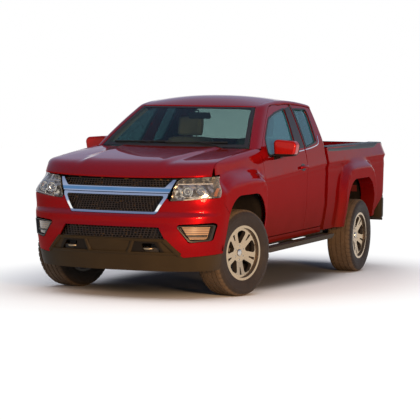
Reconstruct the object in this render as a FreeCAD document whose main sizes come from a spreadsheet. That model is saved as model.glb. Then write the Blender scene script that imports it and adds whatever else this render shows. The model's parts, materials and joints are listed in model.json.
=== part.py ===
import FreeCAD, Part
import math
import os
from types import SimpleNamespace
from FreeCAD import Placement, Rotation, Vector

# Driving dimensions of the pickup truck, in millimetres and degrees.
# Stations run rearwards from the front tip, heights run up from the ground,
# and the body's own heights are those of a level body before it is raked.
SIZES = {
    "overall_length": 5403,
    "front_overhang": 915,
    "wheelbase": 3258,
    "track": 1585,
    "rake_angle": 1.6,
    "centre_shift": 4.1,
    # wheels and tyres
    "tyre_radius": 380,
    "tyre_width": 262,
    "bead_radius": 229,
    "bead_width": 204,
    "flange_radius": 245,
    "flange_width": 11,
    "rim_wall": 10,
    "hub_face": 24,
    "hub_radius": 78,
    "hub_bore": 32,
    "spoke_thickness": 42,
    "spoke_count": 5,
    "window_inner": 84,
    "window_outer": 198,
    "window_inner_half": 13,
    "window_outer_half": 66,
    "slot_length": 66,
    "slot_width": 17,
    "slot_centre": 160,
    "lug_circle": 60,
    "lug_hole": 8,
    "lug_count": 6,
    "rotor_radius": 158,
    "rotor_width": 28,
    "rotor_offset": 62,
    "hat_radius": 88,
    "hub_gap": 0.4,
    # steering
    "kingpin_half_track": 700,
    "rest_steer": 16.5,
    "wheel_sweep": 456,
    "upright_height": 210,
    "upright_width": 58,
    "upright_length": 96,
    "caliper_length": 150,
    "caliper_height": 88,
    "caliper_width": 84,
    "steering_radius": 188,
    "steering_grip": 15,
    "steering_x": 372,
    "steering_station": 1905,
    "steering_height": 1075,
    "column_tilt": 24,
    "column_radius": 24,
    # body side
    "door_half_width": 880,
    "crease_front": 996,
    "crease_slope": 0.048,
    "crease_bed_slope": 0.0147,
    "crease_depth": 9,
    "lower_crease": 700,
    "lower_crease_step": 7,
    "sill_tuck": 48,
    "upper_lean": 0.21,
    "belt_front": 1193,
    "belt_slope": 0.043,
    "belt_kick": 30,
    "belt_kick_station": 2560,
    "belt_kick_length": 380,
    "tumblehome": 0.385,
    "glass_curve": 0.00016,
    "flare_proud": 62,
    "flare_half_length": 600,
    "flare_top": 1105,
    "flare_square": 4,
    "flare_step": 0.13,
    "arch_half_length": 437,
    "rear_arch_extra": 30,
    "arch_top": 893,
    "arch_corner": 265,
    "nose_taper": 38,
    # front end
    "nose_join": 475,
    "nose_square": 0.06,
    "hood_lip": 1062,
    "hood_lip_station": 150,
    "hood_lip_rise": 18,
    "hood_rise": 100,
    "hood_rise_length": 50,
    "hood_slope": 0.128,
    "hood_crown": -8,
    "hood_dome": 14,
    "hood_thickness": 12,
    "hood_half_front": 792,
    "hood_half_rear": 768,
    "fascia_thickness": 14,
    "valance_bottom": 266,
    "fender_thickness": 5.5,
    "lamp_depth": 62,
    "panel_gap": 6,
    "trim_gap": 3,
    # windshield, roof and cab
    "screen_base_height": 1274,
    "screen_base_centre": 1290,
    "screen_base_sweep": 85,
    "screen_base_half": 740,
    "screen_top_height": 1645,
    "screen_top_centre": 1905,
    "screen_top_sweep": 55,
    "screen_top_half": 573,
    "screen_bulge": 14,
    "glass_thickness": 6,
    "pillar_depth": 130,
    "roof_peak": 1752,
    "roof_peak_station": 2500,
    "roof_half": 585,
    "roof_front_drop": 100,
    "roof_rear_drop": 46,
    "roof_crown_front": 24,
    "roof_crown": 46,
    "roof_thickness": 28,
    "cant_drop": 38,
    "cab_rear": 3205,
    "cab_corner_tuck": 24,
    "back_wall": 40,
    "floor_height": 480,
    "floor_thickness": 18,
    "firewall_station": 1330,
    "sill_bottom": 398,
    "sill_top": 452,
    "sill_width": 120,
    # doors
    "door_front": 1448,
    "door_split": 2600,
    "door_rear": 3128,
    "door_bottom": 460,
    "door_thickness": 56,
    "door_frame_thickness": 34,
    "door_frame": 26,
    "split_lean": 40,
    "frame_gap": 22,
    # bed
    "bed_front": 3225,
    "bed_rear": 5285,
    "bed_wall": 150,
    "rail_height": 1234,
    "bed_floor_height": 760,
    "bed_floor_thickness": 40,
    "bed_bottom": 432,
    "tub_width": 180,
    "bed_corner_length": 220,
    "bed_corner_tuck": 62,
    "bed_lean": 0.42,
    "tailgate_thickness": 56,
    "tailgate_width": 1370,
    "tailgate_gap": 6,
    # chassis
    "rail_depth": 120,
    "rail_width": 70,
    "rail_height_low": 455,
    "rail_half_front": 385,
    "rail_half_rear": 480,
    "cross_member": 70,
    "axle_tube": 42,
    "diff_radius": 120,
    "diff_width": 190,
    "spring_half_track": 560,
    "spring_width": 64,
    "spring_thickness": 30,
    "spring_length": 1180,
    "shaft_radius": 38,
    "exhaust_radius": 27,
    "muffler_radius": 80,
    "muffler_length": 560,
    "tank_length": 900,
    "tank_width": 360,
    "tank_height": 170,
    "engine_station": 770,
    "engine_low": 546,
    "engine_length": 540,
    "engine_width": 480,
    "engine_height": 500,
    "gearbox_length": 620,
    "gearbox_radius": 95,
    "spare_radius": 355,
    "spare_width": 200,
    "radiator_width": 720,
    "radiator_height": 430,
    "radiator_depth": 60,
    "step_half": 905,
    "step_width": 110,
    "step_thickness": 42,
    "bumper_rear_depth": 100,
    "bumper_rear_height": 180,
    "bumper_rear_half": 808,
    "bumper_rear_low": 470,
    "corner_step_low": 372,
    "hitch_hole": 25.4,
    # cabin
    "seat_width": 540,
    "seat_length": 520,
    "seat_cushion": 170,
    "seat_back_height": 640,
    "seat_back_thickness": 130,
    "seat_half_spacing": 370,
    "seat_station": 1980,
    "seat_height": 690,
    "headrest_width": 270,
    "headrest_height": 190,
    "rear_seat_station": 2800,
    "dash_front": 1500,
    "dash_depth": 360,
    "dash_top": 1190,
    "dash_height": 330,
    "dash_half": 690,
    "mirror_reach": 1080,
    "mirror_height": 1272,
    "mirror_station": 1690,
    "mirror_tall": 166,
    "mirror_deep": 118,
    "mirror_inner": 838,
}


class Cell:
    """A sheet value together with the expression that gives it."""

    def __init__(self, value, text):
        self.value = value
        self.text = text

    def joined(self, other, sign, value):
        return Cell(value, "(%s %s %s)" % (self.text, sign, text_of(other)))

    def __add__(self, other):
        return self.joined(other, "+", self.value + value_of(other))

    def __radd__(self, other):
        return Cell(other + self.value, "(%s + %s)" % (other, self.text))

    def __sub__(self, other):
        return self.joined(other, "-", self.value - value_of(other))

    def __rsub__(self, other):
        return Cell(other - self.value, "(%s - %s)" % (other, self.text))

    def __mul__(self, other):
        return self.joined(other, "*", self.value * value_of(other))

    __rmul__ = __mul__

    def __truediv__(self, other):
        return self.joined(other, "/", self.value / value_of(other))

    def __neg__(self):
        return Cell(-self.value, "(-1 * %s)" % self.text)


def value_of(thing):
    return thing.value if isinstance(thing, Cell) else thing


def text_of(thing):
    return thing.text if isinstance(thing, Cell) else repr(thing)


doc = FreeCAD.newDocument("pickup_truck")
sheet = doc.addObject("Spreadsheet::Sheet", "Sizes")
for row, (alias, number) in enumerate(SIZES.items(), 1):
    sheet.set("A%d" % row, alias)
    sheet.set("B%d" % row, str(number))
    sheet.setAlias("B%d" % row, alias)
doc.recompute()
mm = SimpleNamespace(**{alias: float(sheet.get(alias)) for alias in SIZES})
ref = SimpleNamespace(**{alias: Cell(getattr(mm, alias), "Sizes." + alias) for alias in SIZES})

subparts = []


def bind(thing, prop, amount):
    """Set a property from a cell, or from a plain number."""
    if isinstance(amount, Cell):
        thing.setExpression(prop, amount.text)
    else:
        thing.setExpression(prop, repr(float(amount)))


def finish_part(thing, label):
    thing.Label = label
    subparts.append(thing)
    return thing


# Frames: the body is built level and then raked about the front axle line

rear_axle = ref.front_overhang + ref.wheelbase
half_length = ref.overall_length / 2 - ref.centre_shift
middle = half_length.value
rake = math.radians(mm.rake_angle)


def set_on_ground(thing):
    """Place a piece that is modelled in stations and true heights."""
    bind(thing, "Placement.Base.y", -half_length)


def set_on_body(thing):
    """Place a piece that is modelled on the level body, raked about the front axle."""
    pivot = Vector(0, mm.front_overhang, mm.tyre_radius)
    turn = Rotation(Vector(1, 0, 0), mm.rake_angle)
    base = pivot - turn.multVec(pivot) + Vector(0, -middle, 0)
    thing.Placement = Placement(base, turn)


def raked(station, height):
    """Station and true height of a point of the level body after the rake."""
    ds = station - mm.front_overhang
    dz = height - mm.tyre_radius
    return (mm.front_overhang + ds * math.cos(rake) - dz * math.sin(rake),
            mm.tyre_radius + ds * math.sin(rake) + dz * math.cos(rake))


# Primitives bound to the sheet

def box(name, corner, extent):
    solid = doc.addObject("Part::Box", name)
    for prop, amount in zip(("Length", "Width", "Height"), extent):
        bind(solid, prop, amount)
    for axis, amount in zip("xyz", corner):
        bind(solid, "Placement.Base." + axis, amount)
    return solid


TURNS = {
    "x": Rotation(Vector(0, 1, 0), 90),
    "y": Rotation(Vector(1, 0, 0), -90),
    "z": Rotation(),
}


def cylinder(name, radius, length, base, axis):
    solid = doc.addObject("Part::Cylinder", name)
    solid.Placement = Placement(Vector(), TURNS[axis])
    bind(solid, "Radius", radius)
    bind(solid, "Height", length)
    for letter, amount in zip("xyz", base):
        bind(solid, "Placement.Base." + letter, amount)
    return solid


def fused(name, pieces):
    joined = doc.addObject("Part::MultiFuse", name)
    joined.Shapes = pieces
    return joined


def cut(name, base, tool):
    result = doc.addObject("Part::Cut", name)
    result.Base = base
    result.Tool = tool
    return result


def grouped(name, pieces):
    """Several solids of one sub-part that don't touch."""
    group = doc.addObject("Part::Compound", name)
    group.Links = pieces
    return group


def shaped(label, shape, settle):
    """A sub-part whose form is worked out by the surface functions below."""
    feature = doc.addObject("Part::Feature", label)
    feature.Shape = shape
    settle(feature)
    return finish_part(feature, label)


# Outlines, surfaces and skins

def loop(corners, point):
    """A closed wire round (u, v, radius) corners, with an arc in each rounded one."""
    flat = [Vector(u, v, 0) for u, v, radius in corners]
    ends = []
    for index, (u, v, radius) in enumerate(corners):
        here = flat[index]
        back = (flat[index - 1] - here).normalize()
        ahead = (flat[(index + 1) % len(flat)] - here).normalize()
        if radius <= 0:
            ends.append((here, None, here))
            continue
        half = back.getAngle(ahead) / 2
        reach = radius / math.tan(half)
        inward = (back + ahead).normalize()
        centre = here + inward * (radius / math.sin(half))
        ends.append((here + back * reach, centre - inward * radius, here + ahead * reach))
    edges = []
    for index, (first, middle, last) in enumerate(ends):
        if middle is not None:
            edges.append(Part.Arc(point(first), point(middle), point(last)).toShape())
        following = ends[(index + 1) % len(ends)][0]
        if last.distanceToPoint(following) > 0.01:
            edges.append(Part.makeLine(point(last), point(following)))
    return Part.Wire(Part.__sortEdges__(edges))


def side_prism(corners, low, high):
    """A prism along X over an outline of (station, height, radius) corners."""
    wire = loop(corners, lambda p: Vector(low, p.x, p.y))
    return Part.Face(wire).extrude(Vector(high - low, 0, 0))


def front_prism(corners, low, high):
    """A prism along Y over an outline of (x, height, radius) corners."""
    wire = loop(corners, lambda p: Vector(p.x, low, p.y))
    return Part.Face(wire).extrude(Vector(0, high - low, 0))


def plan_prism(corners, low, high):
    """A prism along Z over an outline of (x, station, radius) corners."""
    wire = loop(corners, lambda p: Vector(p.x, p.y, low))
    return Part.Face(wire).extrude(Vector(0, 0, high - low))


def surface(grid):
    patch = Part.BSplineSurface()
    patch.interpolate(grid)
    return patch.toShape()


def righted(solid):
    if solid.Volume < 0:
        solid.reverse()
    return solid


def one_solid(shape):
    """The single solid of a boolean's result."""
    solids = [solid for solid in shape.Solids if solid.Volume > 1000]
    if len(solids) != 1:
        raise ValueError("expected one solid, found %d" % len(solids))
    return righted(solids[0])


def slab(grid, offset):
    return righted(surface(grid).extrude(offset))


def skin(outer_grid, inner_grid):
    """A closed solid between two surfaces of the same layout."""
    outer = surface(outer_grid)
    inner = surface(inner_grid)
    rims = [Part.makeRuledSurface(a, b) for a, b in zip(outer.Edges, inner.Edges)]
    shell = Part.makeShell([outer, inner] + rims)
    shell.sewShape()
    return righted(Part.makeSolid(shell))


def mirrored(shape):
    return shape.mirror(Vector(0, 0, 0), Vector(1, 0, 0))


def steps(first, last, count):
    return [first + (last - first) * index / (count - 1) for index in range(count)]


def smooth(amount):
    amount = min(1.0, max(0.0, amount))
    return amount * amount * (3 - 2 * amount)


def between(table, value):
    """Linear reading of a short (value, result) table."""
    if value <= table[0][0]:
        return table[0][1]
    for (x0, y0), (x1, y1) in zip(table, table[1:]):
        if value <= x1:
            return y0 + (y1 - y0) * (value - x0) / (x1 - x0)
    return table[-1][1]


# The body side: its half width at any station and height of the level body

front_axle_station = mm.front_overhang
rear_axle_station = mm.front_overhang + mm.wheelbase


def crease_height(s):
    """Shoulder crease that climbs along the doors and runs on over the bed."""
    cab = min(s, mm.cab_rear)
    bed = max(0.0, s - mm.cab_rear)
    return mm.crease_front + mm.crease_slope * (cab - mm.door_front) + mm.crease_bed_slope * bed


def belt_height(s):
    """Base of the side windows, with the kick under the rear one."""
    kick = mm.belt_kick * smooth((s - mm.belt_kick_station) / mm.belt_kick_length)
    return mm.belt_front + mm.belt_slope * (s - mm.door_front) + kick


def flare_rise(s, z):
    """How far the blistered wheel flares stand out of the side."""
    rise = 0.0
    for axle in (front_axle_station, rear_axle_station):
        along = abs(s - axle) / mm.flare_half_length
        above = max(0.0, z - mm.tyre_radius) / (mm.flare_top - mm.tyre_radius)
        reach = (along ** mm.flare_square + above ** mm.flare_square) ** (1 / mm.flare_square)
        rise = max(rise, mm.flare_proud * smooth((1 - reach) / mm.flare_step))
    if s < mm.cab_rear:
        rise *= 1 - smooth((s - mm.door_front + 96) / 84)
    return rise


def side_width(s, z):
    """Half width of the body side between the nose join and the tail."""
    crease = crease_height(s)
    belt = belt_height(s)
    widest = mm.door_half_width
    if s < mm.door_front:
        widest -= mm.nose_taper * ((mm.door_front - s) / (mm.door_front - mm.nose_join)) ** 2
    depth = mm.crease_depth * smooth((s - front_axle_station) / (mm.door_front - front_axle_station))
    if z < mm.lower_crease:
        share = (mm.lower_crease - z) / (mm.lower_crease - mm.sill_bottom)
        width = widest - depth - mm.lower_crease_step - mm.sill_tuck * share ** 1.25
    elif z < crease:
        share = (crease - z) / (crease - mm.lower_crease)
        under = depth * smooth((crease - z) / 26)
        width = widest - under - mm.lower_crease_step * share
    elif z < belt or s > mm.cab_rear:
        along_bed = max(0.0, s - mm.cab_rear) / (mm.bed_rear - mm.cab_rear)
        width = widest - (mm.upper_lean + (mm.bed_lean - mm.upper_lean) * along_bed) * (z - crease)
    else:
        above = z - belt
        width = widest - mm.upper_lean * (belt - crease)
        width -= mm.tumblehome * above + mm.glass_curve * above * above
    width += flare_rise(s, z)
    corner = (s - mm.door_rear) / (mm.cab_rear - mm.door_rear)
    if 0 < corner <= 1:
        width -= mm.cab_corner_tuck * corner * corner
    tail = (s - mm.bed_rear + mm.bed_corner_length) / mm.bed_corner_length
    if tail > 0:
        width -= mm.bed_corner_tuck * tail ** 2.2
    return width


# The nose: rounded in plan from one wheel arch to the other

NOSE_PROFILE = (
    (240, 86), (300, 58), (370, 30), (430, 12), (500, 0), (560, 3), (625, 14),
    (700, 28), (738, 36), (762, 66), (800, 70), (932, 102), (1035, 132), (1062, 150),
)


def nose_station(z):
    return between(NOSE_PROFILE, z)


def nose_point(angle, z, inset=0.0):
    """A point of the nose, its angle in plan running from -90 to 90 degrees."""
    turn = math.radians(angle)
    swell = 1 + mm.nose_square * math.sin(2 * turn) ** 2
    half = side_width(mm.nose_join, z) - inset
    depth = mm.nose_join - nose_station(z) - inset
    return Vector(half * math.sin(turn) * swell, mm.nose_join - depth * math.cos(turn) * swell, z)


def body_width(s, z):
    """Half width of the body at any station, the nose included."""
    if s >= mm.nose_join:
        return side_width(s, z)
    low, high = 0.0, 90.0
    for _ in range(30):
        middle = (low + high) / 2
        if nose_point(middle, z).y < s:
            low = middle
        else:
            high = middle
    return nose_point(low, z).x


def nose_band(low, high, thickness, far_station, start=0.0, angles=41, back=5):
    """A shell that follows the nose from arch to arch between two heights."""
    knots = [z for z, station in NOSE_PROFILE if low < z < high]
    rows = [low] + knots + [high]
    stretch = steps(far_station, mm.nose_join, back)[:-1]

    def strip(z, inset):
        right = [Vector(-(side_width(s, z) - inset), s, z) for s in stretch]
        nose = [nose_point(a, z, inset) for a in steps(-90, 90, angles)]
        left = [Vector(side_width(s, z) - inset, s, z) for s in reversed(stretch)]
        return right + nose + left

    return skin([strip(z, start) for z in rows], [strip(z, start + thickness) for z in rows])


def both_sides(shape):
    return [shape, mirrored(shape)]


arch_bottom = mm.valance_bottom - 80


def arch_half(axle):
    return mm.arch_half_length + (mm.rear_arch_extra if axle > mm.door_split else 0)


def arch_outline(axle):
    """The squared wheel opening, wider at the bottom, with round shoulders."""
    half = arch_half(axle)
    shoulder = half - 30
    return [
        (axle - half, arch_bottom, 0), (axle + half, arch_bottom, 0),
        (axle + shoulder, mm.arch_top, mm.arch_corner),
        (axle - shoulder, mm.arch_top, mm.arch_corner),
    ]


def arch_tools(axle, inner):
    prism = side_prism(arch_outline(axle), inner, mm.mirror_reach)
    return both_sides(prism)


# The hood and the line where it meets the fenders

def hood_edge(x):
    """Station of the hood's front lip at a distance from the middle."""
    half = side_width(mm.nose_join, mm.hood_lip)
    depth = mm.nose_join - mm.hood_lip_station
    low, high = 0.0, 90.0
    for _ in range(30):
        middle = (low + high) / 2
        swell = 1 + mm.nose_square * math.sin(2 * math.radians(middle)) ** 2
        if half * math.sin(math.radians(middle)) * swell < abs(x):
            low = middle
        else:
            high = middle
    swell = 1 + mm.nose_square * math.sin(2 * math.radians(low)) ** 2
    return mm.nose_join - depth * math.cos(math.radians(low)) * swell


def screen_base(x):
    return mm.screen_base_centre + mm.screen_base_sweep * (x / mm.screen_base_half) ** 2


cowl_width = 55


def hood_rear(x):
    return screen_base(x) - cowl_width


def hood_half(s):
    """Half width of the hood at its shut line with the fender."""
    share = (s - hood_edge(mm.hood_half_front)) / (mm.screen_base_centre - hood_edge(mm.hood_half_front))
    return mm.hood_half_front + (mm.hood_half_rear - mm.hood_half_front) * share


def hood_height(x, s):
    ahead = max(0.0, s - hood_edge(x))
    lift = mm.hood_rise * (1 - math.exp(-ahead / mm.hood_rise_length))
    corner = (x / mm.hood_half_front) ** 2
    lip = mm.hood_lip + mm.hood_lip_rise * corner
    crown = (mm.hood_crown + mm.hood_lip_rise) * corner * smooth(ahead / 260)
    reach = ahead / (mm.screen_base_centre - mm.hood_lip_station)
    edge = 350 + 120 * reach
    dome = mm.hood_dome * (1 - smooth((abs(x) - edge) / 60)) * smooth(ahead / 200)
    return lip + lift + mm.hood_slope * ahead * (1 - 0.22 * reach) - crown + dome


# The windshield, its pillars and the roof

def screen_point(u, v):
    """A point of the windshield, u from -1 to 1 across and v from 0 to 1 up."""
    half = mm.screen_base_half + (mm.screen_top_half - mm.screen_base_half) * v
    sweep = mm.screen_base_sweep + (mm.screen_top_sweep - mm.screen_base_sweep) * v
    centre = mm.screen_base_centre + (mm.screen_top_centre - mm.screen_base_centre) * v
    height = mm.screen_base_height + (mm.screen_top_height - mm.screen_base_height) * v
    bulge = mm.screen_bulge * 4 * v * (1 - v)
    return Vector(half * u, centre + sweep * u * u - bulge * 0.5, height + bulge * 0.8)


def roof_height(x, s):
    if s < mm.roof_peak_station:
        back = (mm.roof_peak_station - s) / (mm.roof_peak_station - mm.screen_top_centre)
        line = mm.roof_peak - mm.roof_front_drop * back ** 2.1
    else:
        back = (s - mm.roof_peak_station) / (mm.cab_rear - mm.roof_peak_station)
        line = mm.roof_peak - mm.roof_rear_drop * back ** 2
    grow = smooth((s - mm.screen_top_centre) / 420)
    crown = mm.roof_crown_front + (mm.roof_crown - mm.roof_crown_front) * grow
    return line - crown * abs(x / mm.roof_half) ** 2.2


def pillar_lines():
    """Matching points along the windshield and roof edge, and along the doors' top line."""
    inner = []
    outer = []
    for v in steps(0.0, 1.0, 9):
        edge = screen_point(1.0, v)
        station = edge.y + mm.pillar_depth
        inner.append(edge)
        outer.append(Vector(side_width(station, edge.z), station, edge.z))
    top = inner[-1]
    for share in steps(0.0, 1.0, 13)[1:]:
        station = top.y + (mm.cab_rear - top.y) * share
        settle = smooth(share * 3)
        half = top.x + (mm.roof_half - top.x) * settle
        edge = Vector(half, station, roof_height(half, station))
        behind = station + mm.pillar_depth * (1 - smooth(share * 1.6))
        height = edge.z - mm.cant_drop * settle
        inner.append(edge)
        outer.append(Vector(side_width(min(behind, mm.cab_rear), height), behind, height))
    return inner, outer


def pillar_patch():
    """The rounded band from the windshield and roof edge out to the doors."""
    grid = []
    for inside, outside in zip(*pillar_lines()):
        corner = Vector(outside.x, inside.y, inside.z)
        row = []
        for t in steps(0.0, 1.0, 7):
            row.append(inside * (1 - t) ** 2 + corner * (2 * t * (1 - t)) + outside * t ** 2)
        grid.append(row)
    return grid


def door_top_line():
    """(station, height) of the doors' top line, from the pillar's foot to the cab's rear."""
    inner, outer = pillar_lines()
    return [(point.y, point.z) for point in outer]


def side_rows(s, low, top):
    """Heights of one column of the side surface, closer together at its creases."""
    crease = crease_height(s)
    fixed = [low + (mm.lower_crease - 14 - low) * k / 5 for k in range(6)]
    middle = [mm.lower_crease + 14 + (crease - 30 - mm.lower_crease - 14) * k / 6 for k in range(7)]
    upper = [crease - 3, crease + 3, crease + 30]
    above = [crease + 30 + (top - crease - 30) * k / 9 for k in range(1, 10)]
    return fixed + middle + upper + above


def side_grid(stations, low, top):
    return [[Vector(side_width(s, z), s, z) for z in side_rows(s, low, top(s))] for s in stations]


def side_panel(first, last, count, low, top, outline, thickness):
    outer = side_grid(steps(first, last, count), low, top)
    inner = [[p - Vector(thickness(p.z), 0, 0) for p in column] for column in outer]
    panel = skin(outer, inner)
    return one_solid(panel.common(side_prism(outline, 0, mm.mirror_reach)))


# Doors: outlines on the level body's side

top_line = door_top_line()


def top_line_height(s):
    return between(top_line, s)


def split_station(z):
    """The shut line between the doors, upright to the belt and leaning back above it."""
    belt = belt_height(mm.door_split)
    if z < belt:
        return mm.door_split
    return mm.door_split + mm.split_lean * (z - belt) / (top_line_height(mm.door_split) - belt)


def front_door_outline(inset=0.0):
    foot = top_line[0]
    gap = mm.panel_gap + inset
    top = [(s + gap, z - gap * 0.4, 0) for s, z in top_line[1:9]]
    roof = [(s, z - gap, 0) for s, z in top_line[9:] if s < mm.door_split - 60]
    split_top = mm.door_split + mm.split_lean
    return (
        [(mm.door_front + inset, mm.door_bottom + inset, 30)]
        + [(mm.door_front + inset, foot[1] - gap - 12, 0), (foot[0] + gap, foot[1] - gap, 0)]
        + top + roof
        + [(split_top - mm.frame_gap / 2 - inset, top_line_height(split_top) - gap, 8)]
        + [(mm.door_split - mm.frame_gap / 2 - inset, belt_height(mm.door_split), 0)]
        + [(mm.door_split - mm.panel_gap / 2 - inset, crease_height(mm.door_split), 0)]
        + [(mm.door_split - mm.panel_gap / 2 - inset, mm.door_bottom + inset, 12)]
    )


def rear_door_outline(inset=0.0):
    gap = mm.panel_gap + inset
    split_top = mm.door_split + mm.split_lean
    roof = [(s, z - gap, 0) for s, z in top_line if split_top + 60 < s < mm.door_rear - 60]
    return (
        [(mm.door_split + mm.panel_gap / 2 + inset, mm.door_bottom + inset, 12)]
        + [(mm.door_split + mm.panel_gap / 2 + inset, crease_height(mm.door_split), 0)]
        + [(mm.door_split + mm.frame_gap / 2 + inset, belt_height(mm.door_split), 0)]
        + [(split_top + mm.frame_gap / 2 + inset, top_line_height(split_top) - gap, 8)]
        + roof
        + [(mm.door_rear - inset, top_line_height(mm.door_rear) - gap, 40)]
        + [(mm.door_rear - inset, mm.door_bottom + inset, 40)]
    )


def front_window_outline(inset=0.0):
    frame = mm.door_frame + inset
    low = belt_height(mm.door_front) + 6 + inset
    start = top_line[1][0] + frame
    rise = [(s + frame, z - frame * 0.7, 0) for s, z in top_line[2:7]]
    high = top_line_height(mm.door_split) - frame - mm.panel_gap
    return (
        [(start, low, 14)] + rise
        + [(mm.door_split - 425, high - 44, 90)]
        + [(mm.door_split - 108 - inset, high, 26)]
        + [(mm.door_split - 222 - inset, belt_height(mm.door_split) + 6 + inset, 20)]
    )


def rear_window_outline(inset=0.0):
    split_top = mm.door_split + mm.split_lean
    high = top_line_height(split_top + 200) - mm.door_frame - mm.panel_gap - inset
    rear = mm.door_rear - 165 - inset
    return [
        (mm.door_split + 42 + inset, belt_height(mm.door_split) + 6 + inset, 20),
        (split_top + 42 + inset, high, 26),
        (rear + 60, high - 6, 46),
        (rear, belt_height(rear) + 8 + inset, 40),
    ]


def cab_top(s):
    return mm.roof_peak + 10


def door_depth(z):
    """Doors are deep below the windows and slimmer in their window frames."""
    slim = smooth((z - mm.belt_front - 10) / 110)
    return mm.door_thickness + (mm.door_frame_thickness - mm.door_thickness) * slim


def front_door():
    slab_top = mm.roof_peak - 30
    panel = side_panel(mm.door_front - 10, mm.door_split + 80, 30, mm.door_bottom - 10,
                       lambda s: slab_top, front_door_outline(), door_depth)
    return one_solid(panel.cut(side_prism(front_window_outline(), 0, mm.mirror_reach)))


def rear_door():
    slab_top = mm.roof_peak - 30
    panel = side_panel(mm.door_split - 10, mm.door_rear + 10, 20, mm.door_bottom - 10,
                       lambda s: slab_top, rear_door_outline(), door_depth)
    return one_solid(panel.cut(side_prism(rear_window_outline(), 0, mm.mirror_reach)))


GLASS_SET_BACK = 16
GLASS_SEAT = 0.3


def door_glass(first, last, outline):
    grid = side_grid(steps(first, last, 12), mm.door_bottom, lambda s: mm.roof_peak - 30)
    pane = surface(grid)
    pane.translate(Vector(-GLASS_SET_BACK, 0, 0))
    pane = pane.extrude(Vector(-mm.glass_thickness, 0, 0))
    return one_solid(pane.common(side_prism(outline, 0, mm.mirror_reach)))


left_front_door = front_door()
left_rear_door = rear_door()
left_front_glass = door_glass(mm.door_front, mm.door_split + 60, front_window_outline(GLASS_SEAT))
left_rear_glass = door_glass(mm.door_split, mm.door_rear, rear_window_outline(GLASS_SEAT))
for side, turn_over in (("left", lambda shape: shape), ("right", mirrored)):
    shaped("front_door_" + side, turn_over(left_front_door), set_on_body)
    shaped("rear_door_" + side, turn_over(left_rear_door), set_on_body)
    shaped("front_glass_" + side, turn_over(left_front_glass), set_on_body)
    shaped("rear_glass_" + side, turn_over(left_rear_glass), set_on_body)


# Door mirrors: a rounded shell on a short arm from the window's front corner

def mirror_shape():
    reach = mm.mirror_reach
    tall = mm.mirror_tall
    deep = mm.mirror_deep
    low = mm.mirror_height - tall / 2
    first = mm.mirror_station
    outline = [(mm.mirror_inner + 20, low, 30), (reach - 26, low + 14, 52),
               (reach, low + tall - 18, 46), (mm.mirror_inner + 8, low + tall, 40)]
    shell = front_prism(outline, first, first + deep)
    back_edges = [edge for edge in shell.Edges if abs(edge.BoundBox.YMax - first) < 0.1]
    shell = shell.makeFillet(22, back_edges)
    root = side_width(mm.mirror_station + 60, low + 20) - 4
    arm = front_prism([(root - 20, low - 34, 6), (mm.mirror_inner + 70, low - 6, 10),
                       (mm.mirror_inner + 70, low + 24, 6), (root - 20, low + 8, 6)],
                      first + 40, first + deep - 18)
    return one_solid(shell.fuse(arm))


left_mirror = mirror_shape().cut([left_front_door, left_front_glass])
left_mirror = max(left_mirror.Solids, key=lambda solid: solid.Volume)
shaped("mirror_left", left_mirror, set_on_body)
shaped("mirror_right", mirrored(left_mirror), set_on_body)


# Cab sides: pillar and roof rail band, quarter strip, sill and hinge pillar

def pillar_band():
    """The band's solid: thin under the roof edge, deep behind the doors' top line."""
    outer = pillar_patch()
    inner = []
    for row in outer:
        last = len(row) - 1
        inner.append([p + Vector(-76 * (k / last) ** 1.5, 0, -30 + 26 * (k / last) ** 1.5)
                      for k, p in enumerate(row)])
    return skin(outer, inner)


def strip_outline(gap):
    """The quarter strip between the rear door and the cab's rear corner."""
    front = mm.door_rear + gap
    return [(front, mm.sill_bottom, 0), (mm.cab_rear, mm.sill_bottom, 0),
            (mm.cab_rear, top_line_height(mm.cab_rear) - 2, 0), (front, top_line_height(front) - 2, 0)]


def cab_side():
    band = pillar_band()
    band_top = mm.roof_peak - 30
    lip = side_panel(mm.door_rear - 10, mm.cab_rear, 8, mm.sill_bottom - 8,
                     lambda s: band_top, strip_outline(mm.panel_gap), lambda z: 5.0)
    strip = side_panel(mm.door_rear - 10, mm.cab_rear, 8, mm.sill_bottom - 8,
                       lambda s: band_top, strip_outline(mm.panel_gap + 24), lambda z: 90.0)
    sill_front = mm.door_front - mm.panel_gap + 1
    sill_outline = [
        (sill_front, mm.sill_bottom, 0), (mm.cab_rear, mm.sill_bottom, 0),
        (mm.cab_rear, mm.sill_top, 0), (sill_front, mm.sill_top, 0),
    ]
    sill = side_panel(sill_front - 20, mm.cab_rear, 16, mm.sill_bottom - 8,
                      lambda s: band_top, sill_outline, lambda z: mm.sill_width)
    foot = top_line[0]
    pillar_outline = [
        (mm.door_front - 60, mm.sill_bottom + 6, 0), (mm.door_front + 60, mm.sill_bottom + 6, 0),
        (mm.door_front + 60, mm.sill_top, 0), (mm.door_front - 12, mm.sill_top, 0),
        (mm.door_front - 12, foot[1] - 20, 0), (mm.door_front - 60, foot[1] - 20, 0),
    ]
    pillar = side_prism(pillar_outline, mm.hood_half_rear - 60, mm.hood_half_rear - 4)
    root = Part.makeBox(90, 48, 46,
                        Vector(mm.hood_half_rear - 92, mm.door_front - 60, foot[1] - 44))
    return one_solid(band.multiFuse([lip, strip, sill, pillar, root]))


left_cab_side = cab_side()
shaped("cab_sides", Part.makeCompound(both_sides(left_cab_side)), set_on_body)


# Roof panel: one crowned pressing between the roof rails

def roof_panel():
    gap = 2.8
    inner = [point for point in pillar_lines()[0][8:]]
    grid = []
    for share in steps(0.0, 1.0, 16):
        row = []
        for u in steps(-1.0, 1.0, 17):
            lead = screen_point(u, 1.0).y + 4
            s = lead + (mm.cab_rear - lead) * share
            half = between([(point.y, point.x) for point in inner], s) - gap
            row.append(Vector(u * half, s, roof_height(u * half, s)))
        grid.append(row)
    return slab(grid, Vector(0, 0, -mm.roof_thickness))


shaped("roof", roof_panel(), set_on_body)


# Windshield and cab back glass

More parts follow.
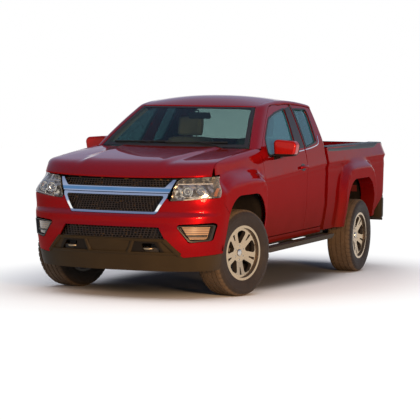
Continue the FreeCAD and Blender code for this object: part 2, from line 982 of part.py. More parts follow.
def screen_glass():
    grid = [[screen_point(u, v) for u in steps(-0.992, 0.992, 15)] for v in steps(0.004, 0.992, 9)]
    return slab(grid, Vector(0, mm.glass_thickness * 0.5, -mm.glass_thickness))


def back_window_outline(inset):
    high = roof_height(0, mm.cab_rear) - 100 - inset
    low = belt_height(mm.cab_rear) + 10 + inset
    half = 560 - inset
    return [(-half - 40, low, 40), (half + 40, low, 40), (half, high, 50), (-half, high, 50)]


def back_point(x, z, offset):
    """The cab's rear wall bows forward towards its corners."""
    bow = 22 * (x / 600) ** 2
    return Vector(x, mm.cab_rear - bow - offset, z)


def back_slab(low, high, half, offset, thickness):
    grid = [[back_point(x, z, offset) for x in steps(-half, half, 11)] for z in steps(low, high, 4)]
    return slab(grid, Vector(0, -thickness, 0))


def cab_back():
    wall = back_slab(mm.floor_height, mm.roof_peak, 860, 0.0, mm.back_wall)
    top = [(x, roof_height(x, mm.cab_rear) - mm.roof_thickness - 0.4, 0) for x in (560, 300, 0, -300, -560)]
    outline = [(-770, mm.floor_height + 2, 0), (770, mm.floor_height + 2, 0)]
    outline += [(770, belt_height(mm.cab_rear), 0)] + top + [(-770, belt_height(mm.cab_rear), 0)]
    wall = one_solid(wall.common(front_prism(outline, mm.cab_rear - 200, mm.cab_rear + 10)))
    wall = wall.cut(front_prism(back_window_outline(0.0), mm.cab_rear - 200, mm.cab_rear + 10))
    return one_solid(wall.cut(Part.makeCompound(both_sides(left_cab_side))))


def back_glass():
    pane = back_slab(mm.floor_height, mm.roof_peak, 860, 14, mm.glass_thickness)
    outline = back_window_outline(GLASS_SEAT)
    return one_solid(pane.common(front_prism(outline, mm.cab_rear - 200, mm.cab_rear + 10)))


shaped("cab_back", cab_back(), set_on_body)
windshield = screen_glass()
shaped("cab_glass", Part.makeCompound([windshield, back_glass()]), set_on_body)


# Hood: one domed pressing with a steep front lip

def hood_panel():
    grid = []
    for share in [0, 0.015, 0.035, 0.06, 0.09, 0.13, 0.18, 0.25, 0.34, 0.45, 0.57, 0.7, 0.83, 0.93, 1.0]:
        row = []
        for u in steps(-1.0, 1.0, 31):
            front = hood_edge(u * mm.hood_half_front)
            rear = hood_rear(u * mm.hood_half_rear)
            s = front + (rear - front) * share
            x = u * (mm.hood_half_front + (mm.hood_half_rear - mm.hood_half_front) * share)
            row.append(Vector(x, s, hood_height(x, s)))
        grid.append(row)
    return slab(grid, Vector(0, 0, -mm.hood_thickness))


shaped("hood", hood_panel(), set_on_body)


# Cowl: black strip between hood and windshield

def cowl():
    grid = []
    for share in steps(0.0, 1.0, 3):
        row = []
        for u in steps(-1.0, 1.0, 11):
            x = u * (mm.screen_base_half + 8)
            first = hood_rear(x) + mm.panel_gap
            last = screen_base(x) - 3
            s = first + (last - first) * share
            height = hood_height(x, hood_rear(x)) - 14 + (mm.screen_base_height - 6
                     - hood_height(x, hood_rear(x)) + 14) * share
            row.append(Vector(x, s, height))
        grid.append(row)
    strip = slab(grid, Vector(0, 0, -30))
    legs = []
    for x in (620, -690):
        legs.append(Part.makeBox(70, 14, 60, Vector(x, mm.firewall_station + 1, firewall_top + 0.3)))
    for x in (330, -390):
        legs.append(Part.makeBox(60, 40, 50, Vector(x, screen_base(360) - 14, mm.screen_base_height - 36)))
    whole = strip.multiFuse(legs).cut(windshield)
    return max(whole.Solids, key=lambda solid: solid.Volume)


firewall_top = 1190
shaped("cowl", cowl(), set_on_body)


# Fenders: side skin that rolls over to the hood's shut line

# The lamp's slanted rear edge, and below it the seam of fender and fascia down to the arch

LAMP_REAR = ((498, 1080), (395, 955), (338, 888))
SEAM_FOOT = (506, 754)
fender_nose = 414
lamp_bottom_outer = 898


def fender_column(s):
    seam_height = hood_height(hood_half(s), s) - 1
    drop = 72
    top = seam_height - drop
    low = mm.sill_bottom - 4
    rows = [Vector(body_width(s, z), s, z) for z in steps(low, top, 17)]
    side_top = rows[-1]
    seam = min(hood_half(s) + mm.panel_gap, side_top.x - 14)
    control = Vector(side_top.x - mm.upper_lean * drop * 0.6, s, seam_height - 6)
    end = Vector(seam, s, seam_height)
    for t in steps(0.0, 1.0, 7)[1:]:
        rows.append(side_top * (1 - t) ** 2 + control * (2 * t * (1 - t)) + end * t ** 2)
    return rows


def rolled(index, last):
    """How far a point of a fender column has turned from the side to the top."""
    return smooth((index - last + 8) / 8)


def fender():
    rear = mm.door_front - mm.panel_gap
    stations = steps(LAMP_REAR[-1][0] - 4, 560, 10) + steps(600, rear - 112, 18) + steps(rear - 98, rear, 8)
    outer = [fender_column(s) for s in stations]
    last = len(outer[0]) - 1
    inner = []
    for column in outer:
        turns = [rolled(k, last) * mm.fender_thickness for k in range(len(column))]
        inner.append([p - Vector(mm.fender_thickness - turn, 0, turn) for p, turn in zip(column, turns)])
    panel = skin(outer, inner)
    gap = mm.trim_gap
    outline = (
        [(fender_nose, 1400, 0), (fender_nose, LAMP_REAR[0][1] - 3, 0)]
        + [(s + gap, z + gap / 2, 0) for s, z in LAMP_REAR]
        + [(SEAM_FOOT[0] + gap, SEAM_FOOT[1] + gap, 0), (560, 690, 0), (rear - 300, 690, 0)]
        + [(rear - 300, mm.sill_bottom, 0), (rear + 2, mm.sill_bottom, 0), (rear + 2, 1400, 0)]
    )
    panel = panel.common(side_prism(outline, 0, mm.mirror_reach))
    foot = [(point.x + gap, point.y - gap, 0) for point in pillar_patch()[0]]
    foot_room = plan_prism([(foot[0][0] - 60, foot[0][1], 0)] + foot + [(foot[0][0] - 60, foot[-1][1], 0)],
                           mm.screen_base_height - 34, mm.screen_base_height + 60)
    return one_solid(panel.cut([arch_tools(front_axle_station, 300)[0], foot_room]))


left_fender = fender()
shaped("fenders", Part.makeCompound(both_sides(left_fender)), set_on_body)


# Front fascia: one moulding round the nose with its openings

LAMP_MOUTH = ((548, 1030, 8), (584, 1053, 10), (980, 1078, 0), (980, lamp_bottom_outer, 0), (504, 860, 14))
LOWER_MOUTH = ((-440, 643, 16), (440, 643, 16), (492, 546, 10), (-492, 546, 10))
FOG_MOUTH = ((572, 666, 20), (872, 684, 24), (838, 528, 26), (682, 512, 26))
HOOK_MOUTH = ((296, 508, 14), (412, 508, 14), (470, 428, 16), (330, 420, 16))
PAINT_EDGE = ((980, 420, 0), (632, 388, 20), (492, 546, 14))


def front_fascia():
    band = nose_band(mm.valance_bottom + 70, 1040, mm.fascia_thickness, 620)
    outline = (
        [(980, lamp_bottom_outer, 0), (504, 860, 0), (486, 890, 8), (400, 748, 26)]
        + [(-400, 748, 26), (-486, 890, 8), (-504, 860, 0), (-980, lamp_bottom_outer, 0)]
        + [(-x, z, r) for x, z, r in PAINT_EDGE]
        + [(-440, 643, 14), (440, 643, 14)]
        + [(x, z, r) for x, z, r in reversed(PAINT_EDGE)]
    )
    fascia = band.common(front_prism(outline, -60, 640))
    seam_top = LAMP_REAR[-1]
    behind = [(-80, 200, 0), (640, 200, 0), (560, 690, 0), (SEAM_FOOT[0], SEAM_FOOT[1], 0),
              (seam_top[0], seam_top[1] - mm.trim_gap / 2, 0), (seam_top[0], 1060, 0), (-80, 1060, 0)]
    fascia = fascia.common(side_prism(behind, -mm.mirror_reach, mm.mirror_reach))
    fascia = fascia.cut(front_prism(FOG_MOUTH, -60, 470))
    fascia = fascia.cut(front_prism([(-x, z, r) for x, z, r in reversed(FOG_MOUTH)], -60, 470))
    return one_solid(fascia.cut(arch_tools(front_axle_station, 300)))


fascia_shape = front_fascia()
shaped("front_bumper", fascia_shape, set_on_body)


# Lower valance: black moulding under the fascia with the skid panel in its middle

def lower_valance():
    band = nose_band(mm.valance_bottom, 543, mm.fascia_thickness, 620)
    gap = mm.trim_gap
    outline = (
        [(x, z - gap, r) for x, z, r in PAINT_EDGE]
        + [(-x, z - gap, r) for x, z, r in reversed(PAINT_EDGE)]
        + [(-980, mm.valance_bottom - 4, 0), (980, mm.valance_bottom - 4, 0)]
    )
    panel = band.common(front_prism(outline, -60, 640))
    panel = panel.cut(both_sides(front_prism(HOOK_MOUTH, -60, 300)))
    return one_solid(panel.cut(arch_tools(front_axle_station, 300)))


valance_shape = lower_valance()
shaped("front_valance", valance_shape, set_on_body)


# Grille: black mesh behind the mouth, and the bright bar and surround on it

def scaled(corners, inset):
    """The outline moved inwards about its own middle by roughly the inset."""
    middle_u = sum(u for u, v, r in corners) / len(corners)
    middle_v = sum(v for u, v, r in corners) / len(corners)
    result = []
    for u, v, r in corners:
        step_u = inset if u < middle_u else -inset
        step_v = inset if v < middle_v else -inset
        result.append((u + step_u, v + step_v, max(0, r - inset)))
    return result


def grille_mesh():
    back = nose_band(750, 1036, 8, 500)
    back.translate(Vector(0, 44, 0))
    mouth = [(-542, 1035, 0), (542, 1035, 0), (494, 930, 0), (397, 751, 20), (-397, 751, 20), (-494, 930, 0)]
    upper = back.common(front_prism(mouth, -60, 420))
    slots = []
    for row in range(8):
        low = 768 + row * 32
        if 880 < low + 10 < 960:
            continue
        for column in range(-8, 8):
            slots.append(Part.makeBox(50, 500, 20, Vector(column * 62 + 6, -60, low)))
    lower = nose_band(548, 641, 8, 500)
    lower.translate(Vector(0, 40, 0))
    lower = lower.common(front_prism(LOWER_MOUTH, -60, 420))
    for row in range(3):
        for column in range(-7, 7):
            slots.append(Part.makeBox(52, 500, 18, Vector(column * 62 + 5, -60, 555 + row * 28)))
    tool = Part.makeCompound(slots)
    return Part.makeCompound([one_solid(upper.cut(tool)), one_solid(lower.cut(tool))])


def grille_bright():
    bar_band = nose_band(905, 1046, 46, 480)
    bar = [(-542, 1041, 0), (-516, 1041, 0), (-458, 974, 30), (458, 974, 30), (516, 1041, 0),
           (542, 1041, 0), (498, 930, 12), (-498, 930, 12)]
    bar = one_solid(bar_band.common(front_prism(bar, -60, 420)))
    ring_band = nose_band(749, 926, 40, 480)
    outer = [(-492, 924, 8), (492, 924, 8), (484, 890, 10), (397, 752, 28), (-397, 752, 28), (-484, 890, 10)]
    inner = [(-464, 906, 14), (464, 906, 14), (384, 769, 24), (-384, 769, 24)]
    ring = ring_band.common(front_prism(outer, -60, 420)).cut(front_prism(inner, -60, 420))
    return Part.makeCompound([bar, one_solid(ring)])


bright_work = grille_bright()
shaped("grille_bar", bright_work, set_on_body)
mesh_pieces = []
for mesh in grille_mesh().Solids:
    low = mesh.BoundBox.ZMin
    mouth_half = 470 if low < 700 else 380
    height = 570 if low < 700 else 738
    pegs = [Part.makeBox(30, 120, 22, Vector(x, nose_station(height) + 2, height))
            for x in (-15, mouth_half - 60, -mouth_half + 30)]
    whole = mesh.multiFuse(pegs).cut([fascia_shape] + bright_work.Solids)
    mesh_pieces.append(max(whole.Solids, key=lambda solid: solid.Volume))
shaped("grille_mesh", Part.makeCompound(mesh_pieces), set_on_body)


# Front lamps: headlamps that wrap round the corners, and the lower lamp pockets

def front_lamps():
    band = nose_band(858, 1079, mm.lamp_depth, 560)
    mouth = scaled(LAMP_MOUTH, mm.trim_gap)
    outline = [(u if u < 900 else 980, v, r) for u, v, r in mouth]
    lamp = band.common(front_prism(outline, -60, 560))
    behind = [(-80, 1100, 0), (LAMP_REAR[0][0], 1100, 0)] + [(s, z, 0) for s, z in LAMP_REAR]
    behind += [(LAMP_REAR[-1][0], 840, 0), (-80, 840, 0)]
    lamp = lamp.common(side_prism(behind, 0, mm.mirror_reach))
    lamp = max(lamp.Solids, key=lambda solid: solid.Volume)
    ear_face = nose_point(42, 880).y - 2
    lamp = lamp.fuse(Part.makeBox(26, 60, 40, Vector(600, ear_face, 858))).cut(fascia_shape)
    lamp = max(lamp.Solids, key=lambda solid: solid.Volume)
    pocket = nose_band(505, 696, 34, 480)
    pocket = pocket.common(front_prism(scaled(FOG_MOUTH, 1.5), -60, 440))
    pocket = max(pocket.Solids, key=lambda solid: solid.Volume)
    return Part.makeCompound(both_sides(lamp) + both_sides(pocket))


shaped("front_lamps", front_lamps(), set_on_body)


# Bumper beam: bars that back the fascia and the valance, on two horns of the frame

def bumper_beam():
    inset = mm.fascia_thickness + 0.3
    upper = nose_band(652, 708, 50, 480, inset).common(front_prism(
        [(-560, 652, 0), (560, 652, 0), (560, 708, 0), (-560, 708, 0)], -60, 460))
    lower = nose_band(420, 470, 50, 480, inset).common(front_prism(
        [(-440, 420, 0), (440, 420, 0), (440, 470, 0), (-440, 470, 0)], -60, 460))
    horns = []
    for hand in (1, -1):
        x = hand * mm.rail_half_front - 30
        horns.append(Part.makeBox(60, 249.7 - 96, 60, Vector(x, 96, 500)))
        horns.append(Part.makeBox(60, 60, 250, Vector(x, 100, 440)))
    beam = upper.multiFuse([lower] + horns).cut([fascia_shape, valance_shape] + mesh_pieces)
    return max(beam.Solids, key=lambda solid: solid.Volume)


shaped("bumper_beam", bumper_beam(), set_on_body)


# Bed sides: deep double walls with the wheel openings

def bed_side():
    stations = steps(mm.bed_front, mm.bed_rear, 58)
    grid = side_grid(stations, mm.bed_bottom - 30, lambda s: mm.rail_height + 20)
    wall = slab(grid, Vector(-mm.bed_wall, 0, 0))
    tail = mm.bed_rear
    lamp_low = 800
    outline = [
        (mm.bed_front, mm.bed_bottom - 20, 0), (rear_axle_station, mm.bed_bottom - 20, 0),
        (tail - 610, mm.bed_bottom + 34, 60), (tail - 380, mm.bed_bottom + 74, 120),
        (tail - 40, lamp_low - 70, 90), (tail, lamp_low + 10, 60),
        (tail - 14, mm.rail_height, 58), (mm.bed_front, mm.rail_height, 0),
    ]
    wall = wall.common(side_prism(outline, 0, mm.mirror_reach))
    wall = wall.cut(arch_tools(rear_axle_station, 300)[0])
    lamp = side_prism([(tail - 92, lamp_low, 0), (tail + 20, lamp_low, 0),
                       (tail + 20, mm.rail_height - 34, 0), (tail - 60, mm.rail_height - 34, 0)],
                      mm.tailgate_width / 2 + 26, mm.mirror_reach)
    room = Part.makeBox(mm.tailgate_width / 2 + mm.tailgate_gap, 300, 900,
                        Vector(0, tail - mm.tailgate_thickness - 14, mm.bed_floor_height - 60))
    wall = wall.cut(room)
    return one_solid(wall.cut(lamp)), one_solid(slab(grid, Vector(-mm.bed_wall + 40, 0, 0)).common(lamp))


left_bed_side, left_tail_lamp = bed_side()
shaped("bed_sides", Part.makeCompound(both_sides(left_bed_side)), set_on_body)
shaped("tail_lamps", Part.makeCompound(both_sides(left_tail_lamp)), set_on_body)


# Bed floor with its front wall and wheel tubs

def bed_floor():
    half = mm.door_half_width - mm.bed_wall - 24
    low = mm.bed_floor_height - mm.bed_floor_thickness
    length = mm.bed_rear - mm.tailgate_thickness - mm.tailgate_gap - mm.bed_front
    floor = Part.makeBox(2 * half, length, mm.bed_floor_thickness, Vector(-half, mm.bed_front, low))
    wall = Part.makeBox(2 * half, 46, mm.rail_height - 14 - low, Vector(-half, mm.bed_front, low))
    ribs = []
    pitch = 2 * half / 13
    for index in range(13):
        if index % 2:
            x = -half + index * pitch
            ribs.append(Part.makeBox(pitch, length - 80, 12,
                                     Vector(x, mm.bed_front + 46, mm.bed_floor_height)))
    tub_half = arch_half(rear_axle_station) + 26
    tub_top = mm.arch_top + 30
    outline = [(rear_axle_station - tub_half, low, 0), (rear_axle_station + tub_half, low, 0),
               (rear_axle_station + tub_half - 40, tub_top, 170),
               (rear_axle_station - tub_half + 40, tub_top, 170)]
    inner = [(rear_axle_station - tub_half + 16, low - 20, 0),
             (rear_axle_station + tub_half - 16, low - 20, 0),
             (rear_axle_station + tub_half - 56, tub_top - 16, 155),
             (rear_axle_station - tub_half + 56, tub_top - 16, 155)]
    tub = side_prism(outline, half - mm.tub_width, half + 10)
    hollow = side_prism(inner, half - mm.tub_width + 16, half + 40)
    keep = [floor, wall] + ribs + both_sides(tub)
    bed = keep[0].multiFuse(keep[1:]).cut(both_sides(hollow))
    bed = bed.cut(Part.makeCompound(both_sides(left_bed_side)))
    return max(bed.Solids, key=lambda solid: solid.Volume)


shaped("bed_floor", bed_floor(), set_on_body)


# Tailgate: thick lid hinged at its lower edge, bowed with the tail

def tailgate():
    half = mm.tailgate_width / 2
    low = mm.bed_floor_height - 6
    high = mm.rail_height - 4
    rear = mm.bed_rear + 4

    def point(x, z):
        bow = 14 * (x / half) ** 2
        lip = 16 * smooth((z - high + 70) / 60)
        tuck = 10 * math.sin(math.pi * (z - low) / (high - low))
        return Vector(x, rear - bow + lip - tuck - 10, z)

    grid = [[point(x, z) for x in steps(-half, half, 13)] for z in steps(low, high, 13)]
    outer = surface(grid)
    front = mm.bed_rear - mm.tailgate_thickness
    block = outer.extrude(Vector(0, -120, 0))
    keep = Part.makeBox(2 * half, 160, high - low, Vector(-half, front, low))
    return one_solid(block.common(keep))


shaped("tailgate", tailgate(), set_on_body)


# Cabin floor with its firewall

def floor_tunnel(grow):
    """The hump over the gearbox and driveshaft, grown or shrunk all round."""
    low = mm.floor_height - mm.floor_thickness
    rear = mm.cab_rear - mm.back_wall - 26
    first = mm.firewall_station + min(grow, 0)
    last = rear - min(grow, 0)
    return side_prism([(first, low - 1 + max(grow, 0), 0), (last, low - 1 + max(grow, 0), 0),
                       (last, low + 60 + grow, 0), (1960, low + 225 + grow, 0),
                       (first, low + 290 + grow, 0)], -150 - grow, 150 + grow)


def cab_floor():
    half = mm.door_half_width - mm.sill_width - 60
    low = mm.floor_height - mm.floor_thickness
    rear = mm.cab_rear - mm.back_wall - 26
    floor = Part.makeBox(2 * half, rear - mm.firewall_station, mm.floor_thickness,
                         Vector(-half, mm.firewall_station, low))
    wall = Part.makeBox(2 * half - 40, 16, firewall_top - low, Vector(-half + 20, mm.firewall_station, low))
    tunnel = floor_tunnel(0.0)
    hollow = floor_tunnel(-16.0)
    flanges = []
    for x in (half - 4, -half - 46):
        flanges.append(Part.makeBox(50, rear - mm.firewall_station - 160, low + 4 - mm.sill_top - 0.3,
                                    Vector(x, mm.firewall_station + 140, mm.sill_top + 0.3)))
    swept = Part.makeCylinder(mm.wheel_sweep, 500,
                              Vector(mm.kingpin_half_track, mm.front_overhang, low - 60))
    return one_solid(floor.multiFuse([wall, tunnel] + flanges).cut([hollow] + both_sides(swept)))


shaped("cab_floor", cab_floor(), set_on_body)


# Dashboard: rolled top, raked face and a flat base, with room for the column

def dashboard():
    low = mm.dash_top - mm.dash_height
    front = mm.dash_front
    rear = mm.dash_front + mm.dash_depth
    outline = [(front, low + 60, 20), (rear - 90, low, 30), (rear - 20, low + 120, 40),
               (rear, mm.dash_top - 70, 60), (front + 60, mm.dash_top, 60), (front, mm.dash_top - 30, 20)]
    bar = side_prism(outline, -mm.dash_half, mm.dash_half)
    console = side_prism([(rear - 160, mm.floor_height + 0.3, 0), (rear + 760, mm.floor_height + 0.3, 0),
                          (rear + 740, mm.floor_height + 300, 30), (rear - 160, low + 40, 0)], -94, 94)
    return one_solid(bar.fuse(console.cut(floor_tunnel(0.3))))


dash_shape = dashboard()


# Steering wheel: rim, three spokes, hub and column

def steering_wheel():
    rim = Part.makeTorus(mm.steering_radius, mm.steering_grip)
    hub = Part.makeCylinder(56, 34, Vector(0, 0, -22))
    spokes = []
    for angle in (0, 90, 180):
        arm = Part.makeBox(mm.steering_radius - 40, 40, 14, Vector(36, -20, -8))
        arm.rotate(Vector(), Vector(0, 0, 1), angle - 180)
        spokes.append(arm)
    column = Part.makeCylinder(mm.column_radius, 130, Vector(0, 0, -150))
    return one_solid(rim.multiFuse([hub, column] + spokes))


wheel_station, wheel_height = mm.steering_station, mm.steering_height
steer_ratio = 16
column_turn = Rotation(Vector(1, 0, 0), -(90 - mm.column_tilt))


def set_steering(thing):
    set_on_body(thing)
    spot = Placement(Vector(mm.steering_x, wheel_station, wheel_height), column_turn)
    thing.Placement = thing.Placement.multiply(spot)


shaped("steering_wheel", steering_wheel(), set_steering)
column_bore = Part.makeCylinder(mm.column_radius + 0.5, 200, Vector(0, 0, -200))
column_bore.Placement = Placement(Vector(mm.steering_x, wheel_station, wheel_height), column_turn)
shroud = Part.makeCylinder(mm.column_radius + 22, 150, Vector(0, 0, -250))
shroud.Placement = Placement(Vector(mm.steering_x, wheel_station, wheel_height), column_turn)
dash_shape = one_solid(dash_shape.fuse(shroud).cut(column_bore))
shaped("dashboard", dash_shape, set_on_body)


# Seats: two front buckets and a small rear bench, plain under the fabric

def bucket(width, x, station, height, back_height, lean, head):
    cushion = side_prism([(station, height, 50), (station + mm.seat_length, height - 24, 30),
                          (station + mm.seat_length, height - mm.seat_cushion, 20),
                          (station + 20, height - mm.seat_cushion + 20, 40)], x - width / 2, x + width / 2)
    rear = station + mm.seat_length
    back = side_prism([(rear - mm.seat_back_thickness, height - 30, 20), (rear + 20, height - 40, 20),
                       (rear + 20 + lean, height + back_height, 50),
                       (rear - mm.seat_back_thickness + 24 + lean, height + back_height, 50)],
                      x - width / 2 + 20, x + width / 2 - 20)
    pieces = [cushion, back]
    if head:
        top = height + back_height
        pieces.append(side_prism([(rear - 70 + lean, top - 10, 10), (rear + 10 + lean, top - 10, 10),
                                  (rear + 26 + lean, top + mm.headrest_height, 34),
                                  (rear - 66 + lean, top + mm.headrest_height, 34)],
                                 x - mm.headrest_width / 2, x + mm.headrest_width / 2))
    base = height - mm.seat_cushion + 22 - mm.floor_height - 0.3
    pieces.append(Part.makeBox(width - 120, mm.seat_length - 120, base,
                               Vector(x - width / 2 + 60, station + 60, mm.floor_height + 0.3)))
    return one_solid(pieces[0].multiFuse(pieces[1:]))


def seats():
    front = [bucket(mm.seat_width, x, mm.seat_station, mm.seat_height + mm.seat_cushion / 2,
                    mm.seat_back_height - 60, 130, True)
             for x in (mm.seat_half_spacing, -mm.seat_half_spacing)]
    rear = [bucket(440, x, mm.rear_seat_station - 120, mm.seat_height + 40, 420, 26, False)
            for x in (mm.seat_half_spacing, -mm.seat_half_spacing)]
    for index, shape in enumerate(rear):
        limit = Part.makeBox(600, 400, 1200, Vector(-300 + (1 if index == 0 else -1) * mm.seat_half_spacing,
                                                    mm.cab_rear - mm.back_wall - 50, 400))
        rear[index] = one_solid(shape.cut(limit))
    return Part.makeCompound([one_solid(seat.cut(floor_tunnel(0.3))) for seat in front + rear])


shaped("seats", seats(), set_on_body)


# Ladder frame: two rails that spread behind the engine, joined by cross members

def ladder_frame():
    low = mm.rail_height_low
    high = low + mm.rail_depth
    solids = []
    for hand in (1, -1):
        corners = [
            (hand * (mm.rail_half_front - mm.rail_width / 2), 250, 0),
            (hand * (mm.rail_half_front + mm.rail_width / 2), 250, 0),
            (hand * (mm.rail_half_front + mm.rail_width / 2), 1420, 0),
            (hand * (mm.rail_half_rear + mm.rail_width / 2), 1760, 0),
            (hand * (mm.rail_half_rear + mm.rail_width / 2), 3320, 0),
            (hand * (mm.rail_half_rear + mm.rail_width / 2), mm.bed_rear - 40, 0),
            (hand * (mm.rail_half_rear - mm.rail_width / 2), mm.bed_rear - 40, 0),
            (hand * (mm.rail_half_rear - mm.rail_width / 2), 1790, 0),
            (hand * (mm.rail_half_front - mm.rail_width / 2), 1450, 0),
        ]
        rail = plan_prism(corners, 380, 800)
        side = [
            (240, low, 0), (1120, low, 40), (1280, 330, 40), (3400, 330, 60), (3620, low + 20, 60),
            (mm.bed_rear, low + 20, 0), (mm.bed_rear, high + 20, 0), (3560, high + 20, 60),
            (3340, 330 + mm.rail_depth, 60), (1310, 330 + mm.rail_depth, 30), (1170, high, 40),
            (240, high, 0),
        ]
        solids.append(plan_prism(corners, 200, 800).common(side_prism(side, -900, 900)))
    members = []
    crossings = (
        (300, mm.rail_half_front, low + 20, 80), (1060, mm.rail_half_front, low + 4, 80),
        (2250, mm.rail_half_rear, 350, 40), (3560, mm.rail_half_rear, low + 10, 70),
        (4330, mm.rail_half_rear, low + 45, 80), (5170, mm.rail_half_rear, low + 40, 80),
    )
    for station, half, bottom, tall in crossings:
        members.append(Part.makeBox(2 * half, mm.cross_member, tall, Vector(-half, station, bottom)))
    for hand in (1, -1):
        inner = mm.engine_width / 2 + 0.3
        reach = mm.rail_half_front - mm.rail_width / 2 + 10 - inner
        root = inner if hand > 0 else -inner - reach
        members.append(Part.makeBox(reach, 90, 40, Vector(root, 960, low + 70)))
    body_mounts = []
    for station in (1620, 3060):
        for hand in (1, -1):
            body_mounts.append(Part.makeBox(70, 70, mm.floor_height - mm.floor_thickness - 0.3 - 400,
                                            Vector(hand * mm.rail_half_rear - 35, station, 400)))
    for station in (3700, 4900):
        for hand in (1, -1):
            foot = high + 10
            top = mm.bed_floor_height - mm.bed_floor_thickness - 0.3
            body_mounts.append(Part.makeBox(70, 70, top - foot,
                                            Vector(hand * mm.rail_half_rear - 35, station, foot)))
    return one_solid(solids[0].multiFuse([solids[1]] + members + body_mounts))


shaped("frame", ladder_frame(), set_on_body)


# Engine as one plain block with the gearbox, shafts to the rear axle

engine = box("engine_block", (-ref.engine_width / 2, ref.engine_station, ref.engine_low),
             (ref.engine_width, ref.engine_length, ref.engine_height))
gearbox = cylinder("gearbox", ref.gearbox_radius, ref.gearbox_length,
                   (0, ref.engine_station + ref.engine_length - 1, ref.engine_low + 18), "y")
engine_all = fused("engine_and_gearbox", [engine, gearbox])
set_on_body(engine_all)
finish_part(engine_all, "engine")


# Rear axle, leaf springs and propeller shaft, set at the wheels' true height

axle_height = ref.tyre_radius
half_track = ref.track / 2
axle_end = half_track + ref.hub_face - 46 - ref.hub_gap
tube = cylinder("axle_tube", ref.axle_tube, axle_end * 2, (-axle_end, rear_axle, axle_height), "x")
diff = cylinder("axle_diff", ref.diff_radius, ref.diff_width,
                (-ref.diff_width / 2, rear_axle, axle_height), "x")
rear_discs = fused("rear_axle_solid", [tube, diff])
set_on_ground(rear_discs)
finish_part(rear_discs, "rear_axle")


def leaf_pair():
    """Each spring bows from a front eye over the axle to a rear shackle."""
    springs = []
    s_front, z_front = rear_axle_station - 610, 452
    s_rear, z_rear = rear_axle_station + 600, 476
    z_axle = mm.tyre_radius + mm.axle_tube + 0.3
    thick = mm.spring_thickness
    for hand in (1, -1):
        x = hand * mm.spring_half_track - mm.spring_width / 2
        top = Part.BSplineCurve()
        top.interpolate([Vector(x, s_front, z_front + thick), Vector(x, rear_axle_station, z_axle + thick),
                         Vector(x, s_rear, z_rear + thick)])
        low = Part.BSplineCurve()
        low.interpolate([Vector(x, s_front, z_front), Vector(x, rear_axle_station, z_axle),
                         Vector(x, s_rear, z_rear)])
        ends = [Part.makeLine(top.StartPoint, low.StartPoint), Part.makeLine(top.EndPoint, low.EndPoint)]
        wire = Part.Wire(Part.__sortEdges__([top.toShape(), low.toShape()] + ends))
        leaf = Part.Face(wire).extrude(Vector(mm.spring_width, 0, 0))
        across_x = Vector(1, 0, 0)
        eyes = [Part.makeCylinder(30, mm.spring_width, Vector(x, s_front, z_front + thick / 2), across_x),
                Part.makeCylinder(26, mm.spring_width, Vector(x, s_rear, z_rear + thick / 2), across_x)]
        inner = mm.rail_half_rear + mm.rail_width / 2 + 0.3
        across = mm.spring_half_track + mm.spring_width / 2 - inner
        left = inner if hand > 0 else -inner - across
        hanger = Part.makeBox(across, 44, 150, Vector(left, s_front - 22, z_front + 10))
        shackle = Part.makeBox(across, 30, 170, Vector(left, s_rear - 15, z_rear + 10))
        springs.append(one_solid(righted(leaf).multiFuse(eyes + [hanger, shackle])))
    return Part.makeCompound(springs)


shaped("leaf_springs", leaf_pair(), set_on_ground)


def straight_tube(radius, first, last):
    run = last - first
    return Part.makeCylinder(radius, run.Length, first, run)


def driveshaft():
    front_s, front_z = raked(mm.engine_station + mm.engine_length + mm.gearbox_length, mm.engine_low + 18)
    first = Vector(0, front_s + 4.2, front_z)
    last = Vector(0, rear_axle_station - mm.diff_radius - 1, mm.tyre_radius + 12)
    return straight_tube(mm.shaft_radius, first, last)


shaped("driveshaft", driveshaft(), set_on_ground)


# Exhaust: pipe, muffler and tailpipe on the truck's right side

def bent_tube(path, radius, bend):
    """A round tube along straight runs with an arc at each corner."""
    edges = []
    start = path[0]
    for back, corner, ahead in zip(path, path[1:], path[2:]):
        inward = (back - corner).normalize()
        outward = (ahead - corner).normalize()
        half = inward.getAngle(outward) / 2
        reach = bend / math.tan(half)
        first = corner + inward * reach
        last = corner + outward * reach
        axis = (inward + outward).normalize()
        crest = corner + axis * (bend / math.sin(half) - bend)
        edges.append(Part.makeLine(start, first))
        edges.append(Part.Arc(first, crest, last).toShape())
        start = last
    edges.append(Part.makeLine(start, path[-1]))
    ring = Part.Wire(Part.makeCircle(radius, path[0], path[1] - path[0]))
    return righted(Part.Wire(edges).makePipe(Part.Face(ring)))


def exhaust():
    x = -250
    muffler_start = 2520
    muffler_end = muffler_start + mm.muffler_length
    front = bent_tube([Vector(x, 1600, 425), Vector(x, 2352, 425), Vector(x, 2462, 374),
                       Vector(x, muffler_start + 10, 374)], mm.exhaust_radius, 90)
    rear = bent_tube([Vector(x, muffler_end - 10, 374), Vector(x, muffler_end + 60, 374),
                      Vector(x - 40, 3980, 438), Vector(x - 40, 4620, 430),
                      Vector(-580, 4940, 428), Vector(-600, 5200, 420)], mm.exhaust_radius, 90)
    muffler = Part.makeCylinder(mm.muffler_radius, mm.muffler_length,
                                Vector(x, muffler_start, 372), Vector(0, 1, 0))
    member_top = 390
    saddle = Part.makeBox(44, 36, 30, Vector(x - 22, 2262, member_top + 0.3))
    return one_solid(muffler.multiFuse([front, rear, saddle]))


shaped("exhaust", exhaust(), set_on_body)


# Fuel tank on the left, between the frame rail and the driveshaft

def fuel_tank():
    outer = mm.rail_half_rear - mm.rail_width / 2 - 0.3
    low = mm.floor_height - mm.floor_thickness - 14 - mm.tank_height
    tank = Part.makeBox(mm.tank_width, mm.tank_length, mm.tank_height,
                        Vector(outer - mm.tank_width, 2360, low))
    return tank.makeFillet(36, tank.Edges)


shaped("fuel_tank", fuel_tank(), set_on_body)


# Spare wheel, flat under the bed floor's rear

